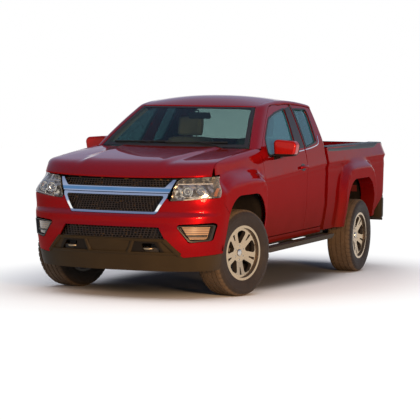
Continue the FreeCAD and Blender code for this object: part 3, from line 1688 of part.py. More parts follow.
spare_low = ref.bed_floor_height - ref.bed_floor_thickness - ref.spare_width - 0.3
spare = cylinder("spare_tyre", ref.spare_radius, ref.spare_width, (0, 4790, spare_low), "z")
spare_round = doc.addObject("Part::Fillet", "spare_rounded")
spare_round.Base = spare
doc.recompute()
spare_round.Edges = [(1, 50, 50), (3, 50, 50)]
set_on_body(spare_round)
finish_part(spare_round, "spare_wheel")


# Radiator between the rails behind the grille

radiator = grouped("radiator_set", [box("radiator_core", (-ref.radiator_width / 2, 300, 575 + 0.3),
                                        (ref.radiator_width, ref.radiator_depth, ref.radiator_height))])
set_on_body(radiator)
finish_part(radiator, "radiator")


# Side steps: flat boards on brackets from the sill

def side_step():
    first = mm.front_overhang + mm.arch_half_length + 60
    last = mm.cab_rear + 160
    low = 330
    board = side_prism([(first, low + 40, 10), (first + 90, low, 16), (last - 90, low, 16),
                        (last, low + 40, 10), (last - 60, low + mm.step_thickness, 10),
                        (first + 60, low + mm.step_thickness, 10)],
                       mm.step_half - mm.step_width, mm.step_half)
    brackets = []
    for station in (first + 240, (first + last) / 2, last - 340):
        root = mm.rail_half_rear + mm.rail_width / 2 + 0.3
        brackets.append(front_prism([(root, 400, 0), (root, 370, 0),
                                     (mm.step_half - 40, low + 12, 0), (mm.step_half - 40, low + 34, 0)],
                                    station, station + 60))
    return one_solid(board.multiFuse(brackets))


left_step = side_step()
shaped("side_steps", Part.makeCompound(both_sides(left_step)), set_on_body)


# Rear bumper: step bumper with wrapped corners, a plate recess and the tow hole

def rear_bumper():
    half = mm.bumper_rear_half
    rear = mm.overall_length
    front = mm.bed_rear + 14
    low = mm.bumper_rear_low
    high = low + mm.bumper_rear_height
    corners = [(-half, front, 0), (half, front, 0), (half - 6, rear - 60, 40), (360, rear, 60),
               (-360, rear, 60), (-half + 6, rear - 60, 40)]
    face = [(-half - 10, high, 0), (half + 10, high, 0), (half + 10, mm.corner_step_low, 0),
            (half - 170, mm.corner_step_low, 20), (half - 230, low, 40), (-half + 230, low, 40),
            (-half + 170, mm.corner_step_low, 20), (-half - 10, mm.corner_step_low, 0)]
    block = plan_prism(corners, mm.corner_step_low, high).common(front_prism(face, front - 10, rear + 10))
    step = front_prism([(half - 120, mm.corner_step_low + 24, 14), (half + 20, mm.corner_step_low + 24, 0),
                        (half + 20, high - 84, 0), (half - 90, high - 84, 24)], front - 10, rear + 10)
    plate = [(-170, low + 30, 12), (170, low + 30, 12), (170, low + 140, 12), (-170, low + 140, 12)]
    recess = front_prism(plate, rear - 30, rear + 20)
    shelf = Part.makeBox(640, 60, 60, Vector(-320, rear - 50, high - 26))
    hole = Part.makeCylinder(mm.hitch_hole / 2, 400, Vector(0, rear - 70, low - 20))
    brackets = []
    for hand in (1, -1):
        root = Vector(hand * mm.rail_half_rear - 30, mm.bed_rear - 39.7, low + 56)
        brackets.append(Part.makeBox(60, 80, 60, root))
    body = block.cut([recess, shelf] + both_sides(step)).multiFuse(brackets).cut(hole)
    return one_solid(body)


shaped("rear_bumper", rear_bumper(), set_on_body)


# Front suspension: lower and upper arms and the spring struts, at true heights

def wishbone(x_in, x_out, height, spread, thickness, hand):
    axle = mm.front_overhang
    corners = [
        (hand * x_in, axle - spread, 0), (hand * (x_in + 50), axle - spread - 20, 0),
        (hand * x_out, axle - 16, 0), (hand * x_out, axle + 16, 0),
        (hand * (x_in + 50), axle + spread + 20, 0), (hand * x_in, axle + spread, 0),
        (hand * (x_in + 90), axle, 30),
    ]
    return plan_prism(corners, height, height + thickness)


def front_suspension():
    pieces = []
    arm_root = mm.rail_half_front + mm.rail_width / 2 - 30
    arm_end = mm.kingpin_half_track - 19
    lower_seat = mm.tyre_radius - mm.upright_height / 2 - 30.3
    upper_seat = mm.tyre_radius + mm.upright_height / 2 + 0.3
    for hand in (1, -1):
        lower = wishbone(arm_root - 40, arm_end, lower_seat, 120, 30, hand)
        upper = wishbone(arm_root + 10, arm_end, upper_seat, 80, 22, hand)
        strut = straight_tube(48, Vector(hand * 560, mm.front_overhang, mm.tyre_radius - 100),
                              Vector(hand * 500, mm.front_overhang, 800))
        tower = Part.makeBox(110, 130, 40, Vector(hand * 480 - 55, mm.front_overhang - 65, 770))
        post = Part.makeBox(50, 120, 330, Vector(hand * 425 - 25, mm.front_overhang - 60, 480))
        side = lower.multiFuse([upper, strut, tower, post])
        pieces.append(side)
    subframe = Part.makeBox(2 * arm_root + 20, 240, 70, Vector(-arm_root - 10, mm.front_overhang - 120,
                                                               mm.tyre_radius - 136))
    rack = Part.makeCylinder(30, 1000, Vector(-500, mm.front_overhang - 170, mm.tyre_radius - 40),
                             Vector(1, 0, 0))
    riser = []
    for hand in (1, -1):
        riser.append(Part.makeBox(60, 340, 190, Vector(hand * 380 - 30, mm.front_overhang - 190,
                                                       mm.tyre_radius - 120)))
    return one_solid(pieces[0].multiFuse([pieces[1], subframe, rack] + riser))


# Frame and suspension meet face to face: the rails are notched out of the suspension

frame_on_ground = subparts[[part.Label for part in subparts].index("frame")].Shape.copy()
frame_on_ground.translate(Vector(0, middle, 0))
suspension = front_suspension().cut(frame_on_ground)
suspension = max(suspension.Solids, key=lambda solid: solid.Volume)
shaped("front_suspension", suspension, set_on_ground)


# Knuckles: upright, hub carrier and brake caliper, steered about the kingpin

def steered(hand):
    """Placement of what turns with a front wheel, its origin at the wheel's centre line."""
    swing = Rotation(Vector(0, 0, 1), -mm.rest_steer)
    pin = Vector(hand * mm.kingpin_half_track, mm.front_overhang - middle, mm.tyre_radius)
    return Placement(pin, swing)


def knuckle(hand):
    offset = mm.track / 2 - mm.kingpin_half_track
    upright = Part.makeBox(mm.upright_width, mm.upright_length, mm.upright_height,
                           Vector(-mm.upright_width / 2 - 4, -mm.upright_length / 2, -mm.upright_height / 2))
    reach = offset + mm.hub_face - 46 - mm.hub_gap
    carrier = Part.makeCylinder(46, reach + 20, Vector(-20, 0, 0), Vector(1, 0, 0))
    caliper = Part.makeBox(mm.caliper_width, mm.caliper_height, mm.caliper_length,
                           Vector(-mm.caliper_width / 2 + offset - mm.rotor_offset - mm.rotor_width / 2,
                                  94, -mm.caliper_length / 2))
    slot = Part.makeCylinder(mm.rotor_radius + 7, mm.rotor_width + 14,
                             Vector(offset - mm.rotor_offset - mm.rotor_width - 7, 0, 0), Vector(1, 0, 0))
    rim_room = Part.makeCylinder(mm.bead_radius - mm.rim_wall - 8, 400, Vector(-200, 0, 0), Vector(1, 0, 0))
    caliper = caliper.cut(slot).common(rim_room)
    bracket = Part.makeBox(30, 80, 60, Vector(-mm.upright_width / 2, 40, -30))
    pieces = upright.multiFuse([carrier, bracket, caliper])
    pieces = pieces.cut(slot.cut(Part.makeCylinder(52, 400, Vector(-200, 0, 0), Vector(1, 0, 0))))
    shape = max(pieces.Solids, key=lambda solid: solid.Volume)
    return shape if hand > 0 else mirrored(shape)


for side, hand in (("left", 1), ("right", -1)):
    feature = doc.addObject("Part::Feature", "knuckle_" + side)
    feature.Shape = knuckle(hand)
    feature.Placement = steered(hand)
    finish_part(feature, "knuckle_" + side)


# Wheels: rim and brake disc turned in one, tyre round it

def rim_shape():
    """The wheel's polished face: five broad spokes, windows, slots and lug holes."""
    width = mm.bead_width / 2
    outer = mm.bead_radius
    face = width - 12
    disc_profile = [
        (mm.hub_face, mm.hub_bore), (mm.hub_face + mm.spoke_thickness, mm.hub_bore),
        (mm.hub_face + mm.spoke_thickness + 2, mm.hub_radius), (face, outer - 30),
        (face, outer - mm.rim_wall + 4), (face - mm.spoke_thickness + 14, outer - mm.rim_wall + 4),
        (mm.hub_face, mm.hub_radius + 20),
    ]
    disc = Part.Face(Part.makePolygon([Vector(x, 0, r) for x, r in disc_profile + disc_profile[:1]]))
    disc = disc.revolve(Vector(), Vector(1, 0, 0), 360)
    wall = mm.rim_wall
    barrel_profile = [
        (-width - mm.flange_width, outer - wall), (width + mm.flange_width, outer - wall),
        (width + mm.flange_width, mm.flange_radius), (width, mm.flange_radius), (width, outer - 0.3),
        (-width, outer - 0.3), (-width, mm.flange_radius), (-width - mm.flange_width, mm.flange_radius),
    ]
    barrel = Part.Face(Part.makePolygon([Vector(x, 0, r) for x, r in barrel_profile + barrel_profile[:1]]))
    barrel = barrel.revolve(Vector(), Vector(1, 0, 0), 360)
    tools = []
    step = 360 / mm.spoke_count
    for index in range(int(mm.spoke_count)):
        angle = 90 + index * step
        window = side_prism([(-mm.window_inner_half, mm.window_inner, 10),
                             (mm.window_inner_half, mm.window_inner, 10),
                             (mm.window_outer_half, mm.window_outer - 16, 22), (0, mm.window_outer, 0),
                             (-mm.window_outer_half, mm.window_outer - 16, 22)], -200, 200)
        window.rotate(Vector(), Vector(1, 0, 0), angle - 90)
        tools.append(window)
        slot = side_prism([(-mm.slot_width * 0.3, mm.slot_centre - mm.slot_length / 2, 4),
                           (mm.slot_width * 0.3, mm.slot_centre - mm.slot_length / 2, 4),
                           (mm.slot_width * 0.75, mm.slot_centre + mm.slot_length / 2, 6),
                           (-mm.slot_width * 0.75, mm.slot_centre + mm.slot_length / 2, 6)],
                          mm.hub_face + 30, 200)
        slot.rotate(Vector(), Vector(1, 0, 0), angle - 90 + step / 2)
        tools.append(slot)
    for index in range(int(mm.lug_count)):
        turn = math.radians(index * 360 / mm.lug_count)
        spot = Vector(mm.hub_face + 18, mm.lug_circle * math.sin(turn), mm.lug_circle * math.cos(turn))
        tools.append(Part.makeCylinder(mm.lug_hole, 200, spot, Vector(1, 0, 0)))
    disc = disc.cut(tools)
    rotor_x = -mm.rotor_offset
    rotor_profile = [
        (mm.hub_face - 46, 0), (mm.hub_face + mm.spoke_thickness - 10, 0),
        (mm.hub_face + mm.spoke_thickness - 10, mm.hub_bore + 1), (mm.hub_face + 2, mm.hub_bore + 1),
        (mm.hub_face + 2, mm.hub_radius - 4), (mm.hub_face - 8, mm.hat_radius),
        (rotor_x, mm.hat_radius), (rotor_x, mm.rotor_radius), (rotor_x - mm.rotor_width, mm.rotor_radius),
        (rotor_x - mm.rotor_width, mm.hat_radius - 12), (mm.hub_face - 18, mm.hat_radius - 12),
        (mm.hub_face - 18, 46), (mm.hub_face - 46, 46),
    ]
    rotor = Part.Face(Part.makePolygon([Vector(x, 0, r) for x, r in rotor_profile + rotor_profile[:1]]))
    rotor = rotor.revolve(Vector(), Vector(1, 0, 0), 360)
    return one_solid(disc.multiFuse([barrel, rotor]))


rim_master = rim_shape()
front_wheels = [("front_left", 1, True), ("front_right", -1, True)]
rear_wheels = [("rear_left", 1, False), ("rear_right", -1, False)]


def wheel_placement(hand, is_front):
    facing = Rotation(Vector(0, 0, 1), 0 if hand > 0 else 180)
    if is_front:
        offset = Vector(hand * (mm.track / 2 - mm.kingpin_half_track), 0, 0)
        return steered(hand).multiply(Placement(offset, facing))
    station = rear_axle_station - middle
    return Placement(Vector(hand * mm.track / 2, station, mm.tyre_radius), facing)


def tyre_shape():
    half = mm.tyre_width / 2
    bead = mm.bead_width / 2 - 0.3
    inner = mm.bead_radius
    outer = mm.tyre_radius
    swell = inner + (outer - inner) * 0.46
    points = [Vector(-bead, 0, inner), Vector(bead, 0, inner), Vector(bead, 0, inner + 18)]
    side = Part.Arc(points[2], Vector(half, 0, swell), Vector(half - 14, 0, outer - 24)).toShape()
    shoulder = Part.Arc(Vector(half - 14, 0, outer - 24), Vector(half - 21, 0, outer - 9),
                        Vector(half - 36, 0, outer - 3)).toShape()
    crown = Part.Arc(Vector(half - 36, 0, outer - 3), Vector(0, 0, outer),
                     Vector(-half + 36, 0, outer - 3)).toShape()
    shoulder_two = Part.Arc(Vector(-half + 36, 0, outer - 3), Vector(-half + 21, 0, outer - 9),
                            Vector(-half + 14, 0, outer - 24)).toShape()
    side_two = Part.Arc(Vector(-half + 14, 0, outer - 24), Vector(-half, 0, swell),
                        Vector(-bead, 0, inner + 18)).toShape()
    edges = [Part.makeLine(points[0], points[1]), Part.makeLine(points[1], points[2]), side, shoulder, crown,
             shoulder_two, side_two, Part.makeLine(Vector(-bead, 0, inner + 18), points[0])]
    ring = Part.Face(Part.Wire(Part.__sortEdges__(edges))).revolve(Vector(), Vector(1, 0, 0), 360)
    return righted(ring)


tyre_master = tyre_shape()
for place, hand, is_front in front_wheels + rear_wheels:
    for kind, master in (("rim_", rim_master), ("tyre_", tyre_master)):
        feature = doc.addObject("Part::Feature", kind + place)
        feature.Shape = master
        feature.Placement = wheel_placement(hand, is_front)
        finish_part(feature, kind + place)


# Check every object, then write each sub-part to its own file

doc.recompute()
for item in doc.Objects:
    if "Invalid" in item.State or "Error" in item.State:
        raise RuntimeError("%s failed: %s" % (item.Label, item.State))
for part in subparts:
    if part.Shape.isNull() or not part.Shape.isValid():
        raise RuntimeError("%s has no valid shape" % part.Label)

os.makedirs("parts", exist_ok=True)
for part in subparts:
    part.Shape.exportStep("parts/%s.step" % part.Label)
print("%d sub-parts written" % len(subparts))
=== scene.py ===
import json
from itertools import product
from math import copysign, cos, exp, pi, radians, sin, sqrt
import bmesh
import bpy
from mathutils import Matrix, Vector
from mathutils.bvhtree import BVHTree


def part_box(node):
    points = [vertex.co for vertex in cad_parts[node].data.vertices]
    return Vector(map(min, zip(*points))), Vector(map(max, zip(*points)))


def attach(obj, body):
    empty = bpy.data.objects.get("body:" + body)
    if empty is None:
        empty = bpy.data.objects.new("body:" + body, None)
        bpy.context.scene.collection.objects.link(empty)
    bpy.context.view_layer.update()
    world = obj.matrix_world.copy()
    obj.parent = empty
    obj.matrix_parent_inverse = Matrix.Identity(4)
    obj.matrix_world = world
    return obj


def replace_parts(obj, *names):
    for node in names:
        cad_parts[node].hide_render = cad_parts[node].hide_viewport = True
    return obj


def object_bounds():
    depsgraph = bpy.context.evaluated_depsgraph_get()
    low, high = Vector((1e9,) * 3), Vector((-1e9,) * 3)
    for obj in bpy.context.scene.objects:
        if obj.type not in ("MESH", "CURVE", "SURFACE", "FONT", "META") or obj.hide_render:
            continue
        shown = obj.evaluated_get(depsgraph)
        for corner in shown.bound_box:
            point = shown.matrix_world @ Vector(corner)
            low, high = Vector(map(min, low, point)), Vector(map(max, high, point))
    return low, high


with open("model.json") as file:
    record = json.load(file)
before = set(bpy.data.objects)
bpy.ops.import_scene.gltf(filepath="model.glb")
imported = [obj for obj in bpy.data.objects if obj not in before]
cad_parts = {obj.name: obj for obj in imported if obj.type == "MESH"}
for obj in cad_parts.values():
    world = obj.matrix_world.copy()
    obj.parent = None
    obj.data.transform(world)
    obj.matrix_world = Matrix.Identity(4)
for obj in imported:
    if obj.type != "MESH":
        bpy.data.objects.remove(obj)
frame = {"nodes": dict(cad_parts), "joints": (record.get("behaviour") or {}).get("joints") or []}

cad_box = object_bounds()
nodes = frame["nodes"]
scene = bpy.context.scene
scene.view_settings.view_transform = "Standard"

# Camera and studio lamps
# A long lens at headlamp height off the truck's left front corner. One wide soft
# lamp hangs overhead and a warm one stands low beside the left headlamp.

camera_data = bpy.data.cameras.new("camera")
camera_data.lens = 148.65
camera_data.sensor_width = 36
camera_data.clip_end = 200
camera = bpy.data.objects.new("camera", camera_data)
scene.collection.objects.link(camera)
aim = Matrix(((0.92348, -0.0361, 0.38195), (0.3831, 0.0334, -0.9231), (0.02057, 0.99879, 0.04467)))
camera.matrix_world = Matrix.Translation((6.4053, -15.9392, 1.4265)) @ aim.to_4x4()
scene.camera = camera


def lamp(name, kind, place, target, power, colour, in_gloss):
    data = bpy.data.lights.new(name, kind)
    data.energy = power
    data.color = colour
    thing = bpy.data.objects.new(name, data)
    scene.collection.objects.link(thing)
    thing.location = place
    thing.rotation_euler = (Vector(target) - Vector(place)).to_track_quat("-Z", "Y").to_euler()
    thing.visible_camera = False
    thing.visible_glossy = in_gloss
    return data


overhead = lamp("overhead_lamp", "SUN", (0, 0, 8), (0, 0, 0), 1.9, (1.0, 0.99, 0.97), False)
overhead.angle = radians(80)
corner = lamp("warm_corner_lamp", "AREA", (6.6, -7.6, 2.0), (0.4, -1.9, 0.75), 820, (1.0, 0.62, 0.32), True)
corner.shape = "DISK"
corner.size = 2.0

# Studio floor and sky
# A white paper floor that keeps the truck's shadow, with a grey painted shadow laid
# under the truck as well. The room is white round the horizon and blue-grey
# overhead, so that the paint and the glass have a sky.


class Shade:
    """A socket in a node tree; arithmetic on shades adds the Math nodes."""

    def __init__(self, tree, socket):
        self.tree = tree
        self.socket = socket

    def math(self, operation, first, second=0.0):
        return self.tree.node("Math", {"operation": operation}, {0: first, 1: second})

    def __add__(self, other):
        return self.math("ADD", self, other)

    __radd__ = __add__

    def __sub__(self, other):
        return self.math("SUBTRACT", self, other)

    def __rsub__(self, other):
        return self.math("SUBTRACT", other, self)

    def __mul__(self, other):
        return self.math("MULTIPLY", self, other)

    __rmul__ = __mul__

    def __pow__(self, other):
        return self.math("POWER", self, other)

    def __abs__(self):
        return self.math("ABSOLUTE", self)

    def most(self, other):
        return self.math("MAXIMUM", self, other)

    def least(self, other):
        return self.math("MINIMUM", self, other)

    def wave(self, pitch):
        """A sine from 0 to 1 that repeats at the pitch, in metres."""
        return self.math("SINE", self * (2 * pi / pitch)) * 0.5 + 0.5

    def rise(self, low, high):
        """0 below low, 1 above high, smooth between."""
        return self.tree.node("MapRange", {"interpolation_type": "SMOOTHSTEP"},
                              {"Value": self, "From Min": low, "From Max": high})


class Tree:
    """A node tree, with one method that adds any node."""

    def __init__(self, tree):
        self.nodes = tree

    def fill(self, node, inputs):
        for name, value in inputs.items():
            socket = node.inputs[name]
            if isinstance(value, Shade):
                self.nodes.links.new(value.socket, socket)
            else:
                socket.default_value = (*value, 1.0) if socket.type == "RGBA" else value

    def node(self, kind, settings=None, inputs=None, output=0):
        node = self.nodes.nodes.new("ShaderNode" + kind)
        for name, value in (settings or {}).items():
            setattr(node, name, value)
        self.fill(node, inputs or {})
        return Shade(self, node.outputs[output])

    def mix(self, first, second, factor):
        return self.node("Mix", {"data_type": "RGBA"}, {0: factor, 6: first, 7: second}, 2)

    def seen_plainly(self):
        """1 for what the camera, gloss or glass looks at, 0 for plain lighting."""
        camera, gloss, through = (self.node("LightPath", output="Is %s Ray" % name)
                                  for name in ("Camera", "Glossy", "Transmission"))
        return camera.most(gloss).most(through)


class Finish(Tree):
    """A material: the constants of its shader, and the nodes that vary over it."""

    def __init__(self, name, **values):
        self.material = bpy.data.materials.new(name)
        self.material.use_nodes = True
        super().__init__(self.material.node_tree)
        self.shader = self.nodes.nodes["Principled BSDF"]
        self.shine = Shade(self, self.shader.outputs[0])
        self.set(**values)

    def set(self, **values):
        self.fill(self.shader, {key.replace("_", " "): value for key, value in values.items()})

    def two_tone(self, first, second, factor, **values):
        """The base colour goes from the first to the second with the factor."""
        self.set(Base_Color=self.mix(first, second, factor), **values)

    def place(self):
        return self.node("TexCoord", output="Object")

    def along(self, letter):
        return self.node("SeparateXYZ", {}, {"Vector": self.place()}, letter)

    def noise(self, scale, detail=3.0, stretch=(1, 1, 1)):
        spot = self.node("VectorMath", {"operation": "MULTIPLY"}, {0: self.place(), 1: stretch})
        return self.node("TexNoise", {}, {"Vector": spot, "Scale": scale, "Detail": detail})

    def flakes(self):
        """The brightness of each metal flake in a lacquer."""
        cells = self.node("TexVoronoi", {}, {"Vector": self.place(), "Scale": 1100.0}, "Color")
        return self.node("SeparateColor", {}, {"Color": cells}, "Red")

    def bump(self, height, depth, strength=1.0):
        self.set(Normal=self.node("Bump", {}, {"Height": height, "Distance": depth, "Strength": strength}))

    def surface(self, shade):
        self.fill(self.nodes.nodes["Material Output"], {"Surface": shade})

    def coat(self, *names):
        """Carried-over CAD nodes take this finish on all their faces."""
        for name in names:
            mesh = nodes[name].data
            mesh.materials.clear()
            mesh.materials.append(self.material)


floor_mesh = bpy.data.meshes.new("studio_floor")
floor_mesh.from_pydata([(-90, -90, 0), (90, -90, 0), (90, 90, 0), (-90, 90, 0)], [], [(0, 1, 2, 3)])
floor = bpy.data.objects.new("studio_floor", floor_mesh)
scene.collection.objects.link(floor)
paper = Finish("white_paper_floor", Roughness=0.95, Specular_IOR_Level=0.0)
east, north = paper.along("X"), paper.along("Y")
away = ((east * east + north * north * 0.35) ** 0.5).rise(1.4, 2.6)
# Painted shadow: the paper is a darker grey under the truck.
painted_shadow_under_truck = 1 - ((east * east + north * north * 0.16) ** 0.5).rise(0.7, 1.12)
sheet = paper.mix((0.84, 0.84, 0.84), (0.87, 0.87, 0.87), paper.noise(2.0))
paper.two_tone(paper.mix(sheet, (0.26, 0.26, 0.26), painted_shadow_under_truck), (0.02, 0.02, 0.02), away)
lift = paper.node("Emission", {}, {"Color": (1, 1, 1), "Strength": paper.seen_plainly() * away})
paper.surface(paper.node("AddShader", {}, {0: paper.shine, 1: lift}))
floor_mesh.materials.append(paper.material)

world = bpy.data.worlds.new("studio_sky")
scene.world = world
world.use_nodes = True
sky = Tree(world.node_tree)
height = sky.node("SeparateXYZ", {}, {"Vector": sky.node("TexCoord", output="Generated")}, "Z")
low_sky = sky.mix((1, 1, 1), (0.34, 0.4, 0.58), height.rise(0.075, 0.24))
room = sky.mix(low_sky, (0.16, 0.2, 0.34), height.rise(0.25, 0.8))
sky.fill(world.node_tree.nodes["Background"], {"Color": room, "Strength": sky.seen_plainly() * 0.45 + 0.55})

# Painted body panels
# Pressed steel in a deep red metallic base coat under clear lacquer. Behind the
# front wheels the lower panels turn browner and less glossy, more so towards the
# bottom. The lacquer is heavier on faces that look up, so the tops show more sky.

paint = Finish("red_metallic_paint", Metallic=0.5, Coat_Roughness=0.02, Coat_IOR=1.5, Specular_IOR_Level=0.0,
               Specular_Tint=(0.7, 0.06, 0.06))
flake = paint.flakes()
# Lower panels behind the front wheels turn browner, rougher and less lacquered, in patches.
lower_browning = (1 - paint.along("Z").rise(0.45, 1.02)) * paint.along("Y").rise(-1.35, -1.15)
lower_browning = lower_browning * (paint.noise(5.0) * 0.5 + 0.55)
# The lacquer coat is heavier on faces that look up and lighter on the sides, so the tops show more sky.
facing_up = paint.node("SeparateXYZ", {}, {"Vector": paint.node("TexCoord", output="Normal")}, "Z")
upward_gloss = facing_up.rise(0.0, 0.6)
red = paint.mix((0.2, 0.0015, 0.003), (0.31, 0.004, 0.005), flake)
paint.two_tone(red, (0.11, 0.022, 0.012), lower_browning * 0.7, Roughness=0.3 + flake * 0.06 + lower_browning * 0.2,
               Coat_Weight=(0.1 + upward_gloss * 0.9) * (1 - lower_browning * 0.7))
paint.coat("front_door_left", "front_door_right", "rear_door_left", "rear_door_right", "roof", "cab_sides",
           "cab_back", "fenders", "hood", "front_bumper", "bed_sides", "tailgate")
bed_paint = Finish("red_bed_paint", Metallic=0.2, Coat_Weight=0.3, Coat_Roughness=0.2)
scuff = bed_paint.noise(9.0, 6.0, (6, 0.4, 1))
bed_paint.two_tone((0.2, 0.006, 0.01), (0.1, 0.02, 0.018), scuff, Roughness=0.35 + scuff * 0.3)
bed_paint.coat("bed_floor", "cab_floor")

# Black trim between and round the side windows
# Matt black tape over the window frames at the doors' split, a rubber seal in the
# split itself, and a rubber lip round each pane.


def grained(name, first, second, scale, depth, strength, **values):
    """A moulded plastic with a fine grain, in its colour and in its relief."""
    finish = Finish(name, **values)
    grain = finish.noise(scale, 2.0)
    finish.two_tone(first, second, grain)
    finish.bump(grain, depth, strength)
    return finish


black_trim = grained("black_trim", (0.01, 0.01, 0.011), (0.022, 0.021, 0.02), 1500.0, 0.0004, 0.3,
                     Roughness=0.42, Specular_IOR_Level=0.4)
LEFT, BACK, UP = Vector((1, 0, 0)), Vector((0, 1, 0)), Vector((0, 0, 1))
SIDES = (("left", 1), ("right", -1))
RAKE = radians(1.6)
FRONT_AXLE, HUB_HEIGHT, HALF_LENGTH = 915.0, 380.0, 2697.4


def at(x, s, z):
    """World place of a point of the level body: millimetres from the middle, the front tip and the ground."""
    along, up = s - FRONT_AXLE, z - HUB_HEIGHT
    return Vector((x, FRONT_AXLE + along * cos(RAKE) - up * sin(RAKE) - HALF_LENGTH,
                   HUB_HEIGHT + along * sin(RAKE) + up * cos(RAKE))) / 1000


def steps(first, last, count):
    return [first + (last - first) * index / (count - 1) for index in range(count)]


def between(first, last, count):
    """Evenly spaced points of the straight line between two points."""
    return list(zip(*(steps(a, b, count) for a, b in zip(first, last))))


def ring(count):
    """Angles that go once round."""
    return [2 * pi * index / count for index in range(count)]


def reading(table, value):
    """Straight-line reading of a short (value, result) table."""
    if value <= table[0][0]:
        return table[0][1]
    for (x0, y0), (x1, y1) in zip(table, table[1:]):
        if value <= x1:
            return y0 + (y1 - y0) * (value - x0) / (x1 - x0)
    return table[-1][1]


class Form:
    """Points and faces of one piece, gathered before it becomes an object. Its sizes are in millimetres."""

    def __init__(self):
        self.points = []
        self.faces = []

    def add(self, points, faces):
        base = len(self.points)
        self.points += [Vector(point) for point in points]
        self.faces += [[base + index for index in face] for face in faces]
        return self

    def take(self, shape):
        """All of a bmesh, which is freed."""
        shape.verts.index_update()
        self.add([vert.co for vert in shape.verts],
                 [[vert.index for vert in face.verts] for face in shape.faces])
        shape.free()
        return self

    def grid(self, rows, loop=False, closed=False):
        """Quads over rows of points; loop joins each row's ends, closed joins the last row to the first."""
        wide, tall = len(rows[0]), len(rows)
        faces = []
        for j, i in product(range(tall if closed else tall - 1), range(wide if loop else wide - 1)):
            here, above, after = j * wide, (j + 1) % tall * wide, (i + 1) % wide
            faces.append([here + i, here + after, above + after, above + i])
        return self.add([point for row in rows for point in row], faces)

    def slab(self, outer, inner):
        """A closed solid between two grids of the same layout."""
        start, wide = len(self.points), len(outer[0])
        self.grid([near + far[::-1] for near, far in zip(outer, inner)], loop=True)
        for end, way in ((start, -1), (len(self.points) - 2 * wide, 1)):
            self.faces += [[end + i, end + i + 1, end + 2 * wide - 2 - i, end + 2 * wide - 1 - i][::way]
                           for i in range(wide - 1)]
        return self

    def sheet(self, rows, drop):
        """A thin solid: rows of points, and the vector from them to its other face."""
        return self.slab(rows, [[point + drop for point in row] for row in rows])

    def laid(self, lines, depth):
        """A thin solid on lines of (place, way out), this many millimetres deep."""
        return self.slab([[place for place, out in line] for line in lines],
                         [[place - out * (depth / 1000) for place, out in line] for line in lines])

    def swept(self, path, profile, out, closed=False):
        """A profile of (side, out) points carried along a path, facing out, all along or at each point."""
        outs = [out] * len(path) if isinstance(out, Vector) else out
        rows = []
        wide, last = len(profile), len(path) - 1
        for index, here in enumerate(path):
            before = path[index - 1] if index or closed else here
            after = path[(index + 1) % len(path)] if index < last or closed else here
            ahead = (after - before).normalized()
            side = ahead.cross(outs[index]).normalized()
            up = side.cross(ahead).normalized()
            rows.append([here + side * (a / 1000) + up * (b / 1000) for a, b in profile])
        base = len(self.points)
        self.grid(rows, loop=True, closed=closed)
        if not closed:
            ends = [list(range(start, start + wide)) for start in (base, base + last * wide)]
            self.faces += [ends[0][::-1], ends[1]]
        return self

    def rod(self, path, radius, sides=8):
        circle = [(radius * cos(turn), radius * sin(turn)) for turn in ring(sides)]
        return self.swept(path, circle, UP if abs((path[-1] - path[0]).normalized().z) < 0.9 else LEFT)

    def turned(self, profile, place, axis, count=32):
        """A (along, radius) profile turned about an axis."""
        axis = Vector(axis).normalized()
        side = axis.orthogonal().normalized()
        up = axis.cross(side)
        rows = []
        for turn in ring(count):
            out = side * cos(turn) + up * sin(turn)
            rows.append([Vector(place) + axis * (a / 1000) + out * (max(r, 0.01) / 1000) for a, r in profile])
        return self.grid(rows, closed=True)

    def block(self, centre, size, edge, turn=Matrix.Identity(3)):
        """A box with chamfered edges, turned by a matrix."""
        half = [amount / 2000 for amount in size]
        edge = min(edge / 1000, min(half) * 0.98)
        shape = bmesh.new()
        for signs, axis in product(product((-1, 1), repeat=3), range(3)):
            corner = [sign * (half[i] if i == axis else half[i] - edge) for i, sign in enumerate(signs)]
            shape.verts.new(turn @ Vector(corner) + Vector(centre))
        bmesh.ops.convex_hull(shape, input=shape.verts)
        return self.take(shape)

    def mirrored(self):
        other = Form()
        other.points = [Vector((-point.x, point.y, point.z)) for point in self.points]
        other.faces = [face[::-1] for face in self.faces]
        return other

    def piece(self, name, finish, body="chassis", slot="black_plastic", sharp=35, bevel=0, rounds=0, wall=0):
        mesh = bpy.data.meshes.new(name)
        mesh.from_pydata([tuple(point) for point in self.points], [], self.faces)
        mesh.validate()
        mesh.materials.append(finish.material)
        mesh.shade_smooth()
        mesh.set_sharp_from_angle(angle=radians(sharp))
        thing = bpy.data.objects.new(name, mesh)
        scene.collection.objects.link(thing)
        if bevel:
            edges = thing.modifiers.new("edges", "BEVEL")
            edges.width = bevel / 1000
            edges.segments = 2
            edges.limit_method = "ANGLE"
            edges.angle_limit = radians(40)
        if rounds:
            thing.modifiers.new("rounds", "SUBSURF").levels = rounds
            thing.modifiers["rounds"].render_levels = rounds
        if wall:
            thing.modifiers.new("wall", "SOLIDIFY").thickness = wall / 1000
        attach(thing, body)
        return thing

    def both(self, name, finish, body="chassis", slot="black_plastic", **looks):
        """The piece on the left and its mirror image on the right, where {} in a name is the side."""
        return [form.piece(name.format(side), finish, body.format(side), slot, **looks)
                for form, side in ((self, "left"), (self.mirrored(), "right"))]


